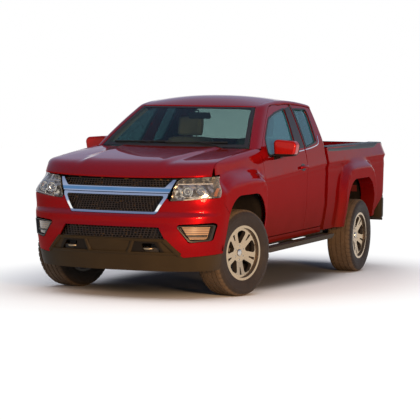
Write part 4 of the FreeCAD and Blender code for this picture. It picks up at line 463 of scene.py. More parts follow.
class Skin:
    """The surface of a CAD node, for laying pieces on it."""

    def __init__(self, name):
        mesh = nodes[name].data
        self.tree = BVHTree.FromPolygons([vert.co.copy() for vert in mesh.vertices],
                                         [tuple(face.vertices) for face in mesh.polygons])

    def hit(self, start, way):
        place, normal = self.tree.ray_cast(start, way)[:2]
        if place is not None and normal.dot(way) > 0:
            normal = -normal
        return place, normal

    def land(self, start, way, miss):
        """The place that a ray hits, or the one given for a miss."""
        place = self.hit(start, way)[0]
        return miss if place is None else place

    def from_front(self, x, z):
        spot = at(x, 0, z)
        return self.hit(Vector((spot.x, -4, spot.z)), BACK)

    def from_side(self, s, z, lift=0.0, low=0.0):
        """The outer surface on the left, lifted off it, and the way it faces; low is the x on a miss."""
        place, normal = self.hit(at(2000, s, z), -LEFT)
        return (at(low, s, z), LEFT) if place is None else (place + normal * lift, normal)


front_door_skin, rear_door_skin = Skin("front_door_left"), Skin("rear_door_left")
DOORS = (("front", front_door_skin), ("rear", rear_door_skin))


def window_line(skin, middle):
    """The edge of a door's window, found on the door itself by feeling outwards from the pane's middle."""
    line = []
    for turn in ring(96):
        for reach in range(40, 763, 3):
            s, z = middle[0] + reach * cos(turn), middle[1] + reach * sin(turn)
            if skin.hit(at(2000, s, z), -LEFT)[0] is not None:
                break
        line.append((s, z))
    return line


def taped(skin, left_foot, left_head, right_foot, right_head, lift=0.0014):
    """A strip of tape on a door between four (station, height) corners."""
    edges = zip(between(left_foot, left_head, 14), between(right_foot, right_head, 14))
    return Form().laid([[skin.from_side(s, z, lift, 700) for s, z in between(left, right, 6)]
                        for left, right in edges], 1000 * lift + 1)


for (door, skin), middle in zip(DOORS, ((2230, 1400), (2830, 1460))):
    path, outs = zip(*[skin.from_side(s, z, 0.0005, 750) for s, z in window_line(skin, middle)])
    Form().swept(path, [(-12, 0), (-12, 2.2), (4, 2.2), (4, -10)], outs, True).both(
        "window_seal_%s_{}" % door, black_trim, door + "_door_{}_body")
taped(front_door_skin, (2386, 1246), (2498, 1630), (2587, 1250), (2625, 1646)).both(
    "front_tape_{}", black_trim, "front_door_{}_body")
taped(rear_door_skin, (2614, 1250), (2652, 1646), (2640, 1256), (2680, 1642)).both(
    "rear_tape_{}", black_trim, "rear_door_{}_body")
rows = []
for s, z, low in between((2582, 1225, 700), (2622, 1665, 670), 14):
    place, out = front_door_skin.from_side(s, z, -0.012, low)
    rows.append([place + Vector((x, y, 0)) for x, y in ((0, 0.0115), (0, 0.0265), (-0.012, 0.0265),
                                                        (-0.012, 0.0115))])
Form().grid(rows, loop=True).both("split_seal_{}", black_trim, "rear_door_{}_body")

# Bright belt line
# A thin bright strip clipped along the foot of the side windows, in two lengths
# that part at the doors' split.

bright = Finish("bright_strip", Metallic=1.0, Base_Color=(0.8, 0.81, 0.83))
bright.set(Roughness=0.12 + bright.noise(60.0) * 0.08)
BELT = (((1600, 1193), (1800, 1196), (2000, 1203), (2200, 1212), (2400, 1221), (2592, 1231)),
        ((2606, 1233), (2750, 1243), (2880, 1257), (2965, 1270), (3000, 1284), (3022, 1316), (3034, 1356)))
for (door, skin), line in zip(DOORS, BELT):
    path, outs = zip(*[skin.from_side(s, reading(line, s), 0.0008, 800)
                       for s in steps(line[0][0], line[-1][0], 40)])
    Form().swept(path, [(-5.5, 0), (-4, 3.2), (4, 3.2), (5.5, 0)], outs).both(
        "belt_strip_%s_{}" % door, bright, door + "_door_{}_body", "chrome")

# Door handles
# Body-colour strap handles screwed on over a pressed finger cup, with a lock
# barrel at the rear end.

foot, out = front_door_skin.from_side(2366, 1066, 0.0, 870)
tail = front_door_skin.from_side(2545, 1072, 0.0, 870)[0]
arch = ((0.0, 0.004), (0.07, 0.02), (0.16, 0.029), (0.35, 0.032), (0.6, 0.032), (0.82, 0.03), (0.93, 0.022),
        (1.0, 0.004))
grip = [(-13, -6), (-15, 0), (-12, 6), (0, 9), (12, 6), (15, 0), (13, -6), (0, -8)]
strap = Form().swept([foot.lerp(tail, t) + out * rise for t, rise in arch], grip, out)
middle, ahead = foot.lerp(tail, 0.52), (tail - foot).normalized()
up = ahead.cross(out)
strap.turned([(0.5, 0), (3, 8.5), (3, 10), (0, 12)], tail + ahead * 0.022 + out * 0.0005, out, 20)
strap.both("door_handle_{}", paint, "front_door_{}_body", "paint", rounds=1)
rows = [[middle + ahead * (0.064 * radius * cos(turn)) + up * (0.036 * radius * sin(turn)) + out * depth
         for turn in ring(32)]
        for radius, depth in ((1.0, 0.0012), (0.93, 0.0026), (0.86, 0.0012), (0.4, 0.0005), (0.01, 0.0003))]
Form().grid(rows, loop=True).both("handle_cup_{}", black_trim, "front_door_{}_body", rounds=1)

# Door mirrors
# A body-colour cap over a black shell and foot, with a silvered glass set in the
# rear face; the cap's red is painted lighter than the body's, for light on it.
# The foot is bolted to the corner of the front door.

shell = Finish("mirror_cap_and_shell", Coat_Roughness=0.02, Coat_IOR=1.25, IOR=1.2,
               Specular_Tint=(0.8, 0.1, 0.06))
cap = shell.along("Z").rise(1.24, 1.247) * (1 - shell.along("Y").rise(-0.945, -0.935))
cap = cap * abs(shell.along("X")).rise(0.853, 0.858)
# The cap's red is a lighter copy of the body colour: painted light.
lighter_lit_cap_red = shell.mix((0.34, 0.006, 0.004), (0.5, 0.014, 0.008), shell.flakes())
shell.two_tone((0.014, 0.013, 0.013), lighter_lit_cap_red, cap, Metallic=cap * 0.42, Roughness=0.5 - cap * 0.2,
               Coat_Weight=cap)
shell.coat("mirror_left", "mirror_right")
silver = Finish("silvered_glass", Metallic=1.0, Base_Color=(0.75, 0.78, 0.8))
silver.set(Roughness=0.02 + silver.noise(20.0) * 0.03)
low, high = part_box("mirror_left")
mirror_skin = Skin("mirror_left")
rows = []
for t in steps(0.14, 0.88, 6):
    row = []
    for u in steps(0.92, 0.16, 8):
        x, z = low.x + (high.x - low.x) * u, low.z + 0.03 + (high.z - low.z - 0.03) * t
        row.append(mirror_skin.land(Vector((x, 2, z)), -BACK, Vector((x, high.y, z))) + BACK * 0.0006)
    rows.append(row)
Form().sheet(rows, BACK * -0.002).both("mirror_glass_{}", silver, "front_door_{}_body", "glass")

# Glass
# A laminated windshield and tempered side and rear panes, tinted blue-green. Each
# lets the room through and shows the sky at a slant.


def see_through(finish, tint, gloss, cover):
    """Clear head on, and more of the finish's own gloss at a slant."""
    slant = finish.node("LayerWeight", {}, {"Blend": 0.5}, "Facing") ** 4
    clear = finish.node("BsdfTransparent", {}, {"Color": tint})
    share = (slant * gloss + cover).least(1.0)
    finish.surface(finish.node("MixShader", {}, {0: share, 1: clear, 2: finish.shine}))


for name, tint, film, cover, panes in (
        ("windshield_glass", (0.72, 0.82, 0.8), (0.004, 0.016, 0.022), 0.18, ("cab_glass",)),
        ("side_glass", (0.42, 0.62, 0.66), (0.03, 0.15, 0.2), 0.42,
         ("front_glass_left", "front_glass_right", "rear_glass_left", "rear_glass_right"))):
    glass = Finish(name, Roughness=0.01, Specular_IOR_Level=0.8, Coat_Weight=0.6, Coat_Roughness=0.0)
    glass.two_tone(film, tuple(value * 1.35 for value in film), glass.noise(4.0, 4.0, (1, 1, 3)))
    see_through(glass, tint, 1.0, cover)
    glass.coat(*panes)

# Grille
# Two black moulded lattices of thin bars laid like brickwork, one above the bumper
# and one in its lower opening. A chromed surround and broad bar cross the upper one;
# the bar carries a painted sky-blue reflection along its middle.

NOSE_TIP = ((240, 86), (300, 58), (370, 30), (430, 12), (500, 0), (560, 3), (625, 14), (700, 28), (738, 36),
            (762, 66), (800, 70), (932, 102), (1035, 132), (1062, 150))
NOSE_HALF = ((240, 816), (300, 829), (370, 843), (430, 855), (500, 868), (560, 879), (625, 889), (700, 897),
             (800, 900), (900, 903), (932, 900), (960, 885), (1000, 850), (1035, 825), (1062, 818))
NOSE_ROOT, NOSE_SWELL = 475, 0.06


def nose(x, z, inset=0.0):
    """World place on the rounded nose at a width and height, set back by inset."""
    half, tip = reading(NOSE_HALF, z), reading(NOSE_TIP, z)
    low, high = 0.0, pi / 2.4
    for _ in range(24):
        middle = (low + high) / 2
        swell = 1 + NOSE_SWELL * sin(2 * middle) ** 2
        if half * sin(middle) * swell < abs(x):
            low = middle
        else:
            high = middle
    swell = 1 + NOSE_SWELL * sin(2 * low) ** 2
    return at(x, NOSE_ROOT - (NOSE_ROOT - tip) * cos(low) * swell + inset, z)


def speckled(name, first, second, scale, detail=3.0, **values):
    """A finish whose colour wanders between two, in specks."""
    finish = Finish(name, **values)
    finish.two_tone(first, second, finish.noise(scale, detail))
    return finish


lattice = Form()
for inset, pitch, gap, width in ((44, 17.0, 27.0, ((757, 397), (930, 490), (1031, 536))),
                                 (40, 17.0, 30.0, ((549, 486), (641, 437)))):
    bottom, top = width[0][0], width[-1][0]
    count = int((top - bottom) / pitch)
    for row, z in enumerate(steps(bottom, top, count + 1)):
        half = reading(width, z)
        lattice.swept([nose(x, z, inset) for x in steps(-half, half, 41)],
                      [(-1.8, -12), (-2.6, 0), (-1.2, 2), (1.2, 2), (2.6, 0), (1.8, -12)], -BACK)
        if row == count:
            continue
        z += (top - bottom) / count / 2
        half = reading(width, z) - 4
        across = int(2 * half / gap)
        for index in range(across + 1):
            x = -half + 2 * half * (index + row % 2 / 2) / across
            if x < half:
                lattice.swept([nose(x, z - pitch / 2, inset), nose(x, z + pitch / 2, inset)],
                              [(-1.4, -10), (-1.8, 0), (1.8, 0), (1.4, -10)], -BACK)
lattice_plastic = speckled("lattice_plastic", (0.012, 0.01, 0.009), (0.045, 0.032, 0.022), 9.0, 4.0,
                           Roughness=0.32)
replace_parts(lattice.piece("grille_lattice", lattice_plastic), "grille_mesh")

chrome = Finish("chrome_plate", Metallic=1.0)
tall = chrome.along("Z")
# Painted reflection: a sky-blue band along the bar's middle, with white above and below it.
painted_light_mask = tall.rise(0.912, 0.922) * (1 - tall.rise(0.94, 0.95))
chrome.two_tone((0.88, 0.9, 0.9), (0.16, 0.42, 0.62), painted_light_mask * (chrome.noise(3.0) * 0.5 + 0.6),
                Roughness=0.05 + chrome.noise(40.0) * 0.05)
chrome.coat("grille_bar")

# Headlamps
# A clear polycarbonate cover over a dark metallised tub. Two projector bowls look
# forward from it, a light bar runs along its foot and an amber reflector closes the
# outer corner. The covers and tubs are the lamp's own outer skin and walls.

LAMP_OUT = Vector((0.56, -0.75, 0.35)).normalized()
lens = speckled("clear_lens", (0.9, 0.92, 0.94), (0.8, 0.82, 0.84), 6.0, Roughness=0.02, Coat_Weight=0.5)
see_through(lens, (0.93, 0.93, 0.93), 0.9, 0.03)
tub = Finish("metallised_tub", Metallic=0.9, Roughness=0.2)
tub.two_tone((0.08, 0.075, 0.07), (0.8, 0.72, 0.6), tub.noise(28.0, 2.0).rise(0.4, 0.62))
bowl = speckled("projector_bowl", (0.92, 0.9, 0.86), (0.7, 0.66, 0.6), 14.0, Metallic=1.0, Roughness=0.06)
ball = speckled("projector_ball", (0.1, 0.13, 0.17), (0.3, 0.34, 0.4), 20.0, Roughness=0.0, Metallic=0.3,
                Coat_Weight=1.0)
frosted = Finish("frosted_light_bar", Roughness=0.25)
frosted.two_tone((0.8, 0.8, 0.78), (0.6, 0.6, 0.58), frosted.along("X").wave(0.012))
amber = Finish("amber_reflector", Roughness=0.12)
amber.two_tone((0.42, 0.13, 0.02), (0.24, 0.06, 0.01), amber.along("Y").wave(0.006))
lamp_skin = Skin("front_lamps")


def lamp_faces(outer):
    """The left headlamp's outer skin, or its other walls, as a form."""
    shape = bmesh.new()
    shape.from_mesh(nodes["front_lamps"].data)
    rest = [face for face in shape.faces if (face.normal.dot(LAMP_OUT) > 0.42) != outer
            or min(face.calc_center_median().x, face.calc_center_median().z - 0.8) < 0]
    bmesh.ops.delete(shape, geom=rest, context="FACES")
    return Form().take(shape)


def lamp_spot(x, z, inset):
    """A place behind the lamp's cover, and the way the cover faces there; past its edge, the edge's."""
    place = None
    while place is None:
        place, normal = lamp_skin.from_front(x, z)
        x += 2 if x < 742 else -2
    return place - normal * (inset / 1000), normal


def lamp_line(first, last, count, inset):
    return [lamp_spot(x, z, inset)[0] for x, z in between(first, last, count)]


cover, walls = lamp_faces(True), lamp_faces(False)
walls.faces = [face[::-1] for face in walls.faces]
bowls, balls, bars, corner_reflector = Form(), Form(), Form(), Form()
for x, z, size in ((645, 950, 46), (748, 960, 42)):
    place, normal = lamp_spot(x, z, 14)
    axis = (normal - BACK * 1.6).normalized()
    bowls.turned([(6, size + 3), (8, size), (0, size - 1), (-8, size * 0.86), (-18, size * 0.66),
                  (-26, size * 0.5), (-28, size * 0.3)], place, axis, 40)
    balls.turned([(-26, size * 0.52), (-18, size * 0.5), (-10, size * 0.42), (-4, size * 0.27), (-2, 0)],
                 place, axis)
    bowls.turned([(-24, size * 0.6), (-15, size * 0.6), (-15, size * 0.53), (-24, size * 0.53)], place, axis)
bars.swept(lamp_line((612, 877), (828, 905), 22, 10), [(-6, -8), (-6, 2), (0, 5), (6, 2), (6, -8)], LAMP_OUT)
bars.swept(lamp_line((566, 1013), (812, 1022), 26, 9), [(-3, -6), (-3, 2), (3, 2), (3, -6)], LAMP_OUT)
corner_reflector.laid([[lamp_spot(x, z, 8) for x in steps(846, 864, 5)] for z in steps(915, 985, 5)], 5)
cover.both("headlamp_cover_{}", lens, slot="lamp_lens", wall=3)
for thing in walls.both("headlamp_tub_{}", tub, slot="lamp_lens"):
    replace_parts(thing, "front_lamps")
for name, form, finish, slot in (("projector_bowls", bowls, bowl, "chrome"),
                                 ("light_bar", bars, frosted, "lamp_lens"),
                                 ("projector_balls", balls, ball, "lamp_lens"),
                                 ("corner_reflector", corner_reflector, amber, "lamp_lens")):
    form.both(name + "_{}", finish, slot=slot)

# Fog lamp pockets
# Black moulded frames let into the bumper's corners. A louvred blank fills each
# one, with the fog lamp's frosted lens set deep in its outer half.

pocket_black = speckled("pocket_moulding", (0.01, 0.009, 0.008), (0.03, 0.024, 0.018), 60.0,
                        Specular_IOR_Level=0.3, Roughness=0.45)
fog_glass = Finish("fog_lens", Roughness=0.2, Coat_Weight=0.6)
fog_glass.two_tone((0.46, 0.27, 0.12), (0.16, 0.09, 0.04), fog_glass.along("Z").wave(0.019))
FOG_CORNERS = [Vector(corner) for corner in ((578, 659), (862, 677), (831, 535), (684, 519))]
FOG_MIDDLE = Vector((742, 602))


def fog_line(shrink, inset):
    """The pocket's rounded outline, shrunk towards its middle and set back."""
    line = []
    for index, corner in enumerate(FOG_CORNERS):
        for t in steps(0, 1, 7)[:-1]:
            before = corner.lerp(FOG_CORNERS[index - 1], 0.5 * (1 - t))
            after = corner.lerp(FOG_CORNERS[(index + 1) % 4], 0.5 * t)
            spot = before.lerp(after, t).lerp(corner, 0.72)
            spot -= (spot - FOG_MIDDLE).normalized() * shrink
            line.append(lamp_spot(spot.x, spot.y, inset)[0])
    return line


pocket, fog_lens, louvres = Form(), Form(), Form()
lips = ((0, 1), (4, -5), (15, -3), (20, 10), (26, 44), (60, 48), (88, 48))
pocket.grid([fog_line(shrink, inset) for shrink, inset in lips], loop=True)
fog_lens.laid([[lamp_spot(x, z, 20) for x in steps(first, last, 10)]
               for z, first, last in between((546, 694, 812), (652, 628, 834), 12)], 8)
for z in (574, 582):
    left = reading(((519, 690), (659, 592)), z)
    right = reading(((535, 828), (677, 850)), z)
    louvres.swept(lamp_line((left + 22, z), (right - 22, z), 14, 14), [(-3, -14), (-4, 0), (4, 0), (3, -14)],
                  Vector((0.67, -0.74, -0.03)).normalized())
pocket.both("fog_pocket_{}", pocket_black)
fog_lens.both("fog_lens_{}", fog_glass, slot="lamp_lens")
louvres.both("fog_louvres_{}", pocket_black)

# Front valance
# A grained black moulding under the bumper, ribbed where it turns up round the lower
# opening, with two forged tow hooks reaching through it. The pockets round the hooks
# carry painted shade.

moulding = Finish("black_moulding", Specular_IOR_Level=0.12)
grain = moulding.noise(1400.0, 2.0)
weather = moulding.noise(3.0, 4.0)
moulding.two_tone((0.01, 0.007, 0.003), (0.07, 0.045, 0.018), grain * 0.4 + weather * 0.4,
                  Roughness=0.48 + weather * 0.15)
moulding.bump(grain, 0.0006, 0.4)
moulding.coat("cowl")
valance = Finish("valance_moulding", Specular_IOR_Level=0.12, Roughness=0.55)
grain = valance.noise(1400.0, 2.0)
aside, tall = abs(valance.along("X")), valance.along("Z")
# Painted shade: the pockets beside the tow hooks are made near-black, as if in shadow.
painted_light_mask = (aside - tall * 0.2).rise(0.085, 0.1) * (1 - (aside + tall * 0.55).rise(0.7, 0.73))
painted_light_mask = painted_light_mask * tall.rise(0.395, 0.41) * (1 - tall.rise(0.5, 0.512))
brown = valance.mix((0.012, 0.008, 0.003), (0.075, 0.048, 0.02), grain * 0.3 + valance.noise(3.0) * 0.5)
valance.two_tone(brown, (0.004, 0.003, 0.002), painted_light_mask * 0.85)
valance.bump(grain, 0.0006, 0.4)
valance.coat("front_valance")
valance_skin = Skin("front_valance")


def on_valance(first, last, count, lift):
    """A line of places on the valance, lifted off it, between two (width, height) points."""
    path = []
    for x, z in between(first, last, count):
        place, normal = valance_skin.from_front(x, z)
        path.append(nose(x, z) if place is None else place + normal * lift)
    return path


ribs = Form()
for hand, (x0, z0, x1, z1) in product((1, -1), ((222, 530, 180, 430), (486, 536, 610, 412))):
    ribs.swept(on_valance((hand * x0, z0), (hand * x1, z1), 12, 0.001),
               [(-22, -8), (-9, 16), (9, 16), (22, -8)], -BACK)
for z, half, rise in ((536, 484, 14), (424, 600, 10)):
    ribs.swept(on_valance((-half, z), (half, z), 40, 0.0005),
               [(-12, -10), (-8, rise), (6, rise), (20, -10)], -BACK)
foremost = cad_box[0][1] + 0.0005
ribs.points = [Vector((point.x, max(point.y, foremost), point.z)) for point in ribs.points]
ribs.piece("valance_ribs", moulding, sharp=60)
forged = Finish("forged_hook", Metallic=1.0)
forged.two_tone((0.12, 0.1, 0.08), (0.55, 0.42, 0.24), forged.noise(40.0),
                Roughness=0.35 + forged.noise(90.0) * 0.2)
loop = [(354 + 40 * cos(turn), 50 - 34 * sin(turn)) for turn in steps(-0.15 * pi, 1.15 * pi, 18)]
hook = Form().rod([at(x, s, 464) for x, s in [(386, 190)] + loop + [(322, 190)]], 9.5, 10)
hook.block(at(354, 205, 464), (96, 60, 40), 6).both("tow_hook_{}", forged, slot="cast_metal", sharp=60)

# Windshield surround and wipers
# The glass is bonded behind a black printed band. Two wiper arms rest on it from
# pivots in the cowl.

SCREEN_OUT = Vector((0, -0.52, 0.85))


def screen(u, v, lift):
    """A place on the windshield, u across from -1 to 1 and v up from 0 to 1, lifted off it."""
    half, centre, sweep, height = (foot + (head - foot) * v
                                   for foot, head in ((740, 573), (1290, 1905), (85, 55), (1274, 1645)))
    bulge = 56 * v * (1 - v)
    place = at(half * u, centre + sweep * u * u - bulge * 0.5, height + bulge * 0.8)
    return place + SCREEN_OUT.normalized() * lift


across, up = steps(-0.985, 0.985, 40), steps(0.02, 0.98, 24)
edge = [(u, 0.02) for u in across] + [(0.985, v) for v in up]
edge += [(u, 0.985) for u in across[::-1]] + [(-0.985, v) for v in up[::-1]]
Form().grid([[screen(u, v, 0.0012) for u, v in edge],
             [screen(u * 0.945, 0.5 + (v - 0.5) * 0.9 + 0.012, 0.0012) for u, v in edge]],
            loop=True).piece("windshield_band", black_trim)
wipers = Form()
for x, first, last in ((430, -0.1, 0.72), (-250, -0.84, -0.02)):
    pivot = at(x + 60, 1330, 1262)
    tip = screen((first + last) / 2, 0.1, 0.016)
    wipers.turned([(0, 14), (12, 14), (20, 9), (21, 0)], pivot - UP * 0.004, (0, -0.3, 1), 16)
    wipers.rod([pivot + UP * 0.014, pivot.lerp(tip, 0.3) + UP * 0.022, tip], 5.5, 6)
    wipers.swept([screen(u, v, 0.01) for u, v in between((first, 0.085), (last, 0.105), 12)],
                 [(-3, -8), (-6, 3), (0, 8), (6, 3), (3, -8)], SCREEN_OUT)
wipers.piece("wipers", black_trim)

# Bed rail caps and tailgate handle
# Moulded caps cover the tops of the bed's sides and of the tailgate. The tailgate's
# lever sits in a black recess.

rail_plastic = grained("rail_cap_plastic", (0.02, 0.03, 0.032), (0.05, 0.062, 0.064), 700.0, 0.0005, 0.4,
                       Specular_IOR_Level=0.4, Roughness=0.5)
bed_skin = Skin("bed_sides")


def bed_top(x, s, lift=0.0):
    spot = at(x, s, 0)
    return bed_skin.land(Vector((spot.x, spot.y, 3)), -UP, Vector((spot.x, spot.y, 0))) + UP * lift


edge = []
for s in steps(3226, 5280, 60):
    xs = [x for x in range(600, 961, 2) if bed_top(x, s).z > at(0, s, 1198).z]
    if xs:
        edge.append((s, min(xs), max(xs)))
narrow = [min(near[2] for near in edge[max(0, index - 4):index + 5]) for index in range(len(edge))]
rows = []
for index, (s, inner, outer) in enumerate(edge):
    near = narrow[max(0, index - 6):index + 7]
    tops = [bed_top(x, s, 0.009) for x in steps(inner + 3, sum(near) / len(near), 12)]
    rows.append([tops[0] + Vector((-0.005, 0, fall)) for fall in (-0.05, -0.006)] + tops
                + [tops[-1] + Vector((0.003, 0, fall)) for fall in (-0.006, -0.024)])
Form().grid(rows).both("bed_rail_cap_{}", rail_plastic, sharp=60)
low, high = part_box("tailgate")
profile = ((low.y + 0.004, -0.012), (low.y + 0.004, 0.001), (low.y + 0.012, 0.004), (high.y - 0.022, 0.004),
           (high.y - 0.014, 0), (high.y - 0.014, -0.012))
rows = [[Vector((x / 1000, y, high.z + rise)) for y, rise in profile] for x in steps(-745, 745, 30)]
Form().grid(rows).piece("tailgate_cap", rail_plastic, "tailgate_body", sharp=60)
handle = Skin("tailgate").hit(Vector((0, 4, 1.0842)), -BACK)[0]
Form().block(handle - BACK * 0.004, (300, 14, 104), 5).piece(
    "tailgate_recess", black_trim, "tailgate_body", bevel=2)
Form().block(handle + Vector((0, 0.006, 0.018)), (200, 16, 36), 6).piece(
    "tailgate_lever", black_trim, "tailgate_body", bevel=3)

# Tail lamps
# Moulded red covers at the corners of the load bed, faceted inside, with a clear
# window for the reversing lamp.

red_lens = Finish("tail_lamp_lens", Roughness=0.15, Specular_IOR_Level=0.25, Coat_Weight=0.3)
tall, aside = red_lens.along("Z"), abs(red_lens.along("X"))
reverse = tall.rise(1.005, 1.007) * (1 - tall.rise(1.085, 1.087))
reverse = reverse * aside.rise(0.725, 0.727) * (1 - aside.rise(0.798, 0.8))
facets = (tall.wave(0.009) + aside.wave(0.009)) * 0.5
red_lens.two_tone(red_lens.mix((0.26, 0.003, 0.004), (0.56, 0.01, 0.008), facets), (0.72, 0.7, 0.68), reverse)
red_lens.bump(facets, 0.0002, 0.4)
red_lens.coat("tail_lamps")

# Side steps
# Black steel boards hung from the frame on three mountings a side, with ribbed
# rubber tread pads pressed on where a foot lands.

moulding.coat("side_steps", "rear_bumper")
BOARD_TOP, PAD_TOP = 372.2, 374.5
rail = Form().swept([at(770, s, 420) for s in steps(1420, 3350, 20)],
                    [(-50, -4), (-50, 4), (45, 4), (45, -4)], LEFT)
for s in (1560, 2390, 3230):
    rail.block(at(800, s, 362), (90, 46, 22), 5)
rail.both("step_mounting_{}", moulding)
step_rubber = Finish("step_rubber", Specular_IOR_Level=0.3, Roughness=0.7)
tread = step_rubber.along("Y").wave(0.02)
step_rubber.two_tone((0.01, 0.009, 0.009), (0.045, 0.04, 0.034), tread)
step_rubber.bump(tread, 0.002, 0.8)
pads = Form()
for first, last in ((1520, 2260), (2420, 3160)):
    pads.sheet([[at(x, s, PAD_TOP if first < s < last and 812 < x < 888 else BOARD_TOP)
                 for x in steps(812, 888, 6)] for s in steps(first, last, 24)], UP * -0.003)
pads.both("step_pads_{}", step_rubber)

# Wheels
# Cast alloy, painted grey between the spokes and turned bright on their faces, with
# a blank centre cap, six nuts and a valve. The gold tint of the turned faces is
# painted warm light.

WHEELS = [(joint["name"].replace("spin_", ""), Vector(joint["pos_m"]),
           Vector(joint["axis"]) * copysign(1, joint["pos_m"][0]))
          for joint in frame["joints"] if joint["name"].startswith("spin_")]


def from_hub(finish, place, axis):
    """How far along the axle and out from it a point of the wheel lies, in metres."""
    spot = finish.node("VectorMath", {"operation": "SUBTRACT"}, {0: finish.place(), 1: place})
    along = finish.node("VectorMath", {"operation": "DOT_PRODUCT"}, {0: spot, 1: axis}, 1)
    reach = finish.node("VectorMath", {"operation": "LENGTH"}, {0: spot}, 1)
    return along, (reach * reach - along * along).most(0.0) ** 0.5


nut_steel = speckled("plated_steel", (0.7, 0.66, 0.6), (0.45, 0.42, 0.38), 200.0, Metallic=1.0,
                     Roughness=0.22)
for name, place, axis in WHEELS:
    alloy = Finish("alloy_" + name)
    along, out = from_hub(alloy, place, axis)
    facing = alloy.node("VectorMath", {"operation": "DOT_PRODUCT"},
                        {0: alloy.node("TexCoord", output="Normal"), 1: axis}, 1)
    turned = (facing.rise(0.8, 0.9) * along.rise(0.03, 0.036)).most(
        out.rise(0.226, 0.23) * along.rise(0.05, 0.06))
    disc = (1 - along.rise(0.012, 0.016)) * (1 - out.rise(0.16, 0.165))
    # Painted warm light: the turned faces are tinted gold.
    gold_lit_turned_face = alloy.mix((0.6, 0.46, 0.31), (0.42, 0.31, 0.2), out.wave(0.0016))
    dark_side = alloy.mix((0.06, 0.052, 0.045), (0.24, 0.23, 0.22), disc)
    alloy.two_tone(dark_side, gold_lit_turned_face, turned, Metallic=turned * 0.55 + 0.4,
                   Roughness=0.42 - turned * 0.17)
    alloy.coat("rim_" + name)
    side = axis.cross(UP)
    fittings = Form().turned([(52, 31), (66, 31), (72, 28), (76, 16), (77, 0)], place, axis)
    for turn in ring(6):
        spot = place + (side * sin(turn) + UP * cos(turn)) * 0.06
        fittings.turned([(40, 11), (43, 11), (44, 9.5), (62, 9.5), (66, 6), (67, 0)], spot, axis, 6)
    fittings.turned([(0, 5), (14, 4), (30, 3.6), (31, 0)], place + side * 0.205 + axis * 0.066,
                    axis - side * 0.5, 10)
    fittings.piece("wheel_fittings_" + name, nut_steel, "wheel_" + name, "alloy", sharp=30)

# Tyres
# Moulded rubber, 265 mm wide: a ribbed tread with cross-cut shoulder blocks that
# wrap onto plain sidewalls. The tread is browner than the sidewalls, in patches.

SIDEWALL = [(-104, 232), (-112, 238), (-118, 252), (-121, 256), (-128, 282), (-131, 306), (-130, 322),
            (-131.4, 326), (-128, 344), (-124, 352), (-117, 366), (-110, 373), (-101, 377)]
TYRE = list(SIDEWALL)
for groove in (-74, -26, 26, 74):
    TYRE += [(groove - 5, 379.4), (groove - 3.5, 371), (groove + 3.5, 371), (groove + 5, 379.4)]
    if groove < 74:
        TYRE += [(groove + 17, 380), (groove + 31, 380)]
TYRE += [(-a, r) for a, r in SIDEWALL[::-1]]
for name, place, axis in WHEELS:
    rubber = Finish("rubber_" + name, Specular_IOR_Level=0.3)
    along, out = from_hub(rubber, place, axis)
    # The tread turns browner and rougher in patches.
    tread_browning = out.rise(0.355, 0.374) * (rubber.noise(14.0) * 0.6 + 0.45)
    film = rubber.mix((0.012, 0.009, 0.007), (0.034, 0.022, 0.014), rubber.noise(22.0))
    rubber.two_tone(film, (0.135, 0.088, 0.05), tread_browning.least(1.0), Roughness=0.62 + tread_browning * 0.25)
    rubber.bump(out.wave(0.0045), 0.0007, 1 - out.rise(0.345, 0.355))
    side = axis.cross(UP)
    rows = []
    for index, turn in enumerate(ring(240)):
        row = []
        for a, r in TYRE:
            if abs(a) > 84 and r > 350 and (index + (2 if a > 0 else 0)) % 5 == 0:
                r -= 8 if r > 360 else 3
            elif abs(a) <= 69 and abs(abs(a) - 26) > 6 and r > 375 and (index + int(a / 24) * 2) % 5 == 0:
                r -= 5
            angle = turn + (0.01 * sin(a / 12) if abs(a) < 80 else 0)
            row.append(place + (axis * a + (side * sin(angle) + UP * cos(angle)) * r) / 1000)
        rows.append(row)
    tyre = Form().grid(rows, closed=True)
    sunk = min(0, min(point.z for point in tyre.points))
    tyre.points = [point - UP * sunk for point in tyre.points]
    tread = tyre.piece("tyre_tread_" + name, rubber, "wheel_" + name, "tyre_rubber", sharp=28)
    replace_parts(tread, "tyre_" + name)

# Wheel arch liners
# Black felted plastic tubs clipped inside each arch. The front ones stand clear of
# the tyre at full lock.

liner_felt = speckled("arch_liner", (0.006, 0.005, 0.005), (0.02, 0.016, 0.013), 30.0,
                      Specular_IOR_Level=0.1, Roughness=0.95)
CORNER, FOOT, SHOULDER, SPRING = 210, 430, 640, 695
for where, middle, half, inside, outside in (("front", 915, 456, 400, 866), ("rear", 4173, 486, 560, 885)):
    line = []
    for turn in steps(pi, 0, 13):
        lean = cos(turn)
        flat = copysign(half - CORNER, lean) if abs(lean) > 0.01 else 0
        line.append((middle + flat + CORNER * lean, SPRING + 212 * sin(turn)))
    front, rear = middle - half, middle + half
    line = [(front, FOOT), (front, SHOULDER)] + line + [(rear, SHOULDER), (rear, FOOT)]
    arch = Form().grid([[at(x, s, z) for x in steps(inside, outside, 6)] for s, z in line])
    apron = []
    for s in steps(middle - half, middle + half, 41):
        off, into = abs(s - middle) / 1000, (700 - inside) / 1000
        swing = 0.1444 - max(0.0, into * into + off * off - 0.05)
        foot = 395 + 1000 * sqrt(max(0.0, swing)) if where == "front" else 560
        crown = SPRING + sqrt(max(0.0, 212 ** 2 - max(0.0, abs(s - middle) - (half - CORNER)) ** 2 * 1.02))
        apron.append([at(inside, s, z) for z in steps(min(foot, crown - 5), crown, 5)])
    arch.grid(apron).both("arch_liner_%s_{}" % where, liner_felt, sharp=70, wall=3)

# Baffles behind the grille and the valance
# Black moulded air guides, screwed round the radiator. They close the space there,
# so no daylight shows through. Warm specks painted on them stand for glints of light.

baffle = Finish("air_guide", Roughness=0.6, Specular_IOR_Level=0.2)
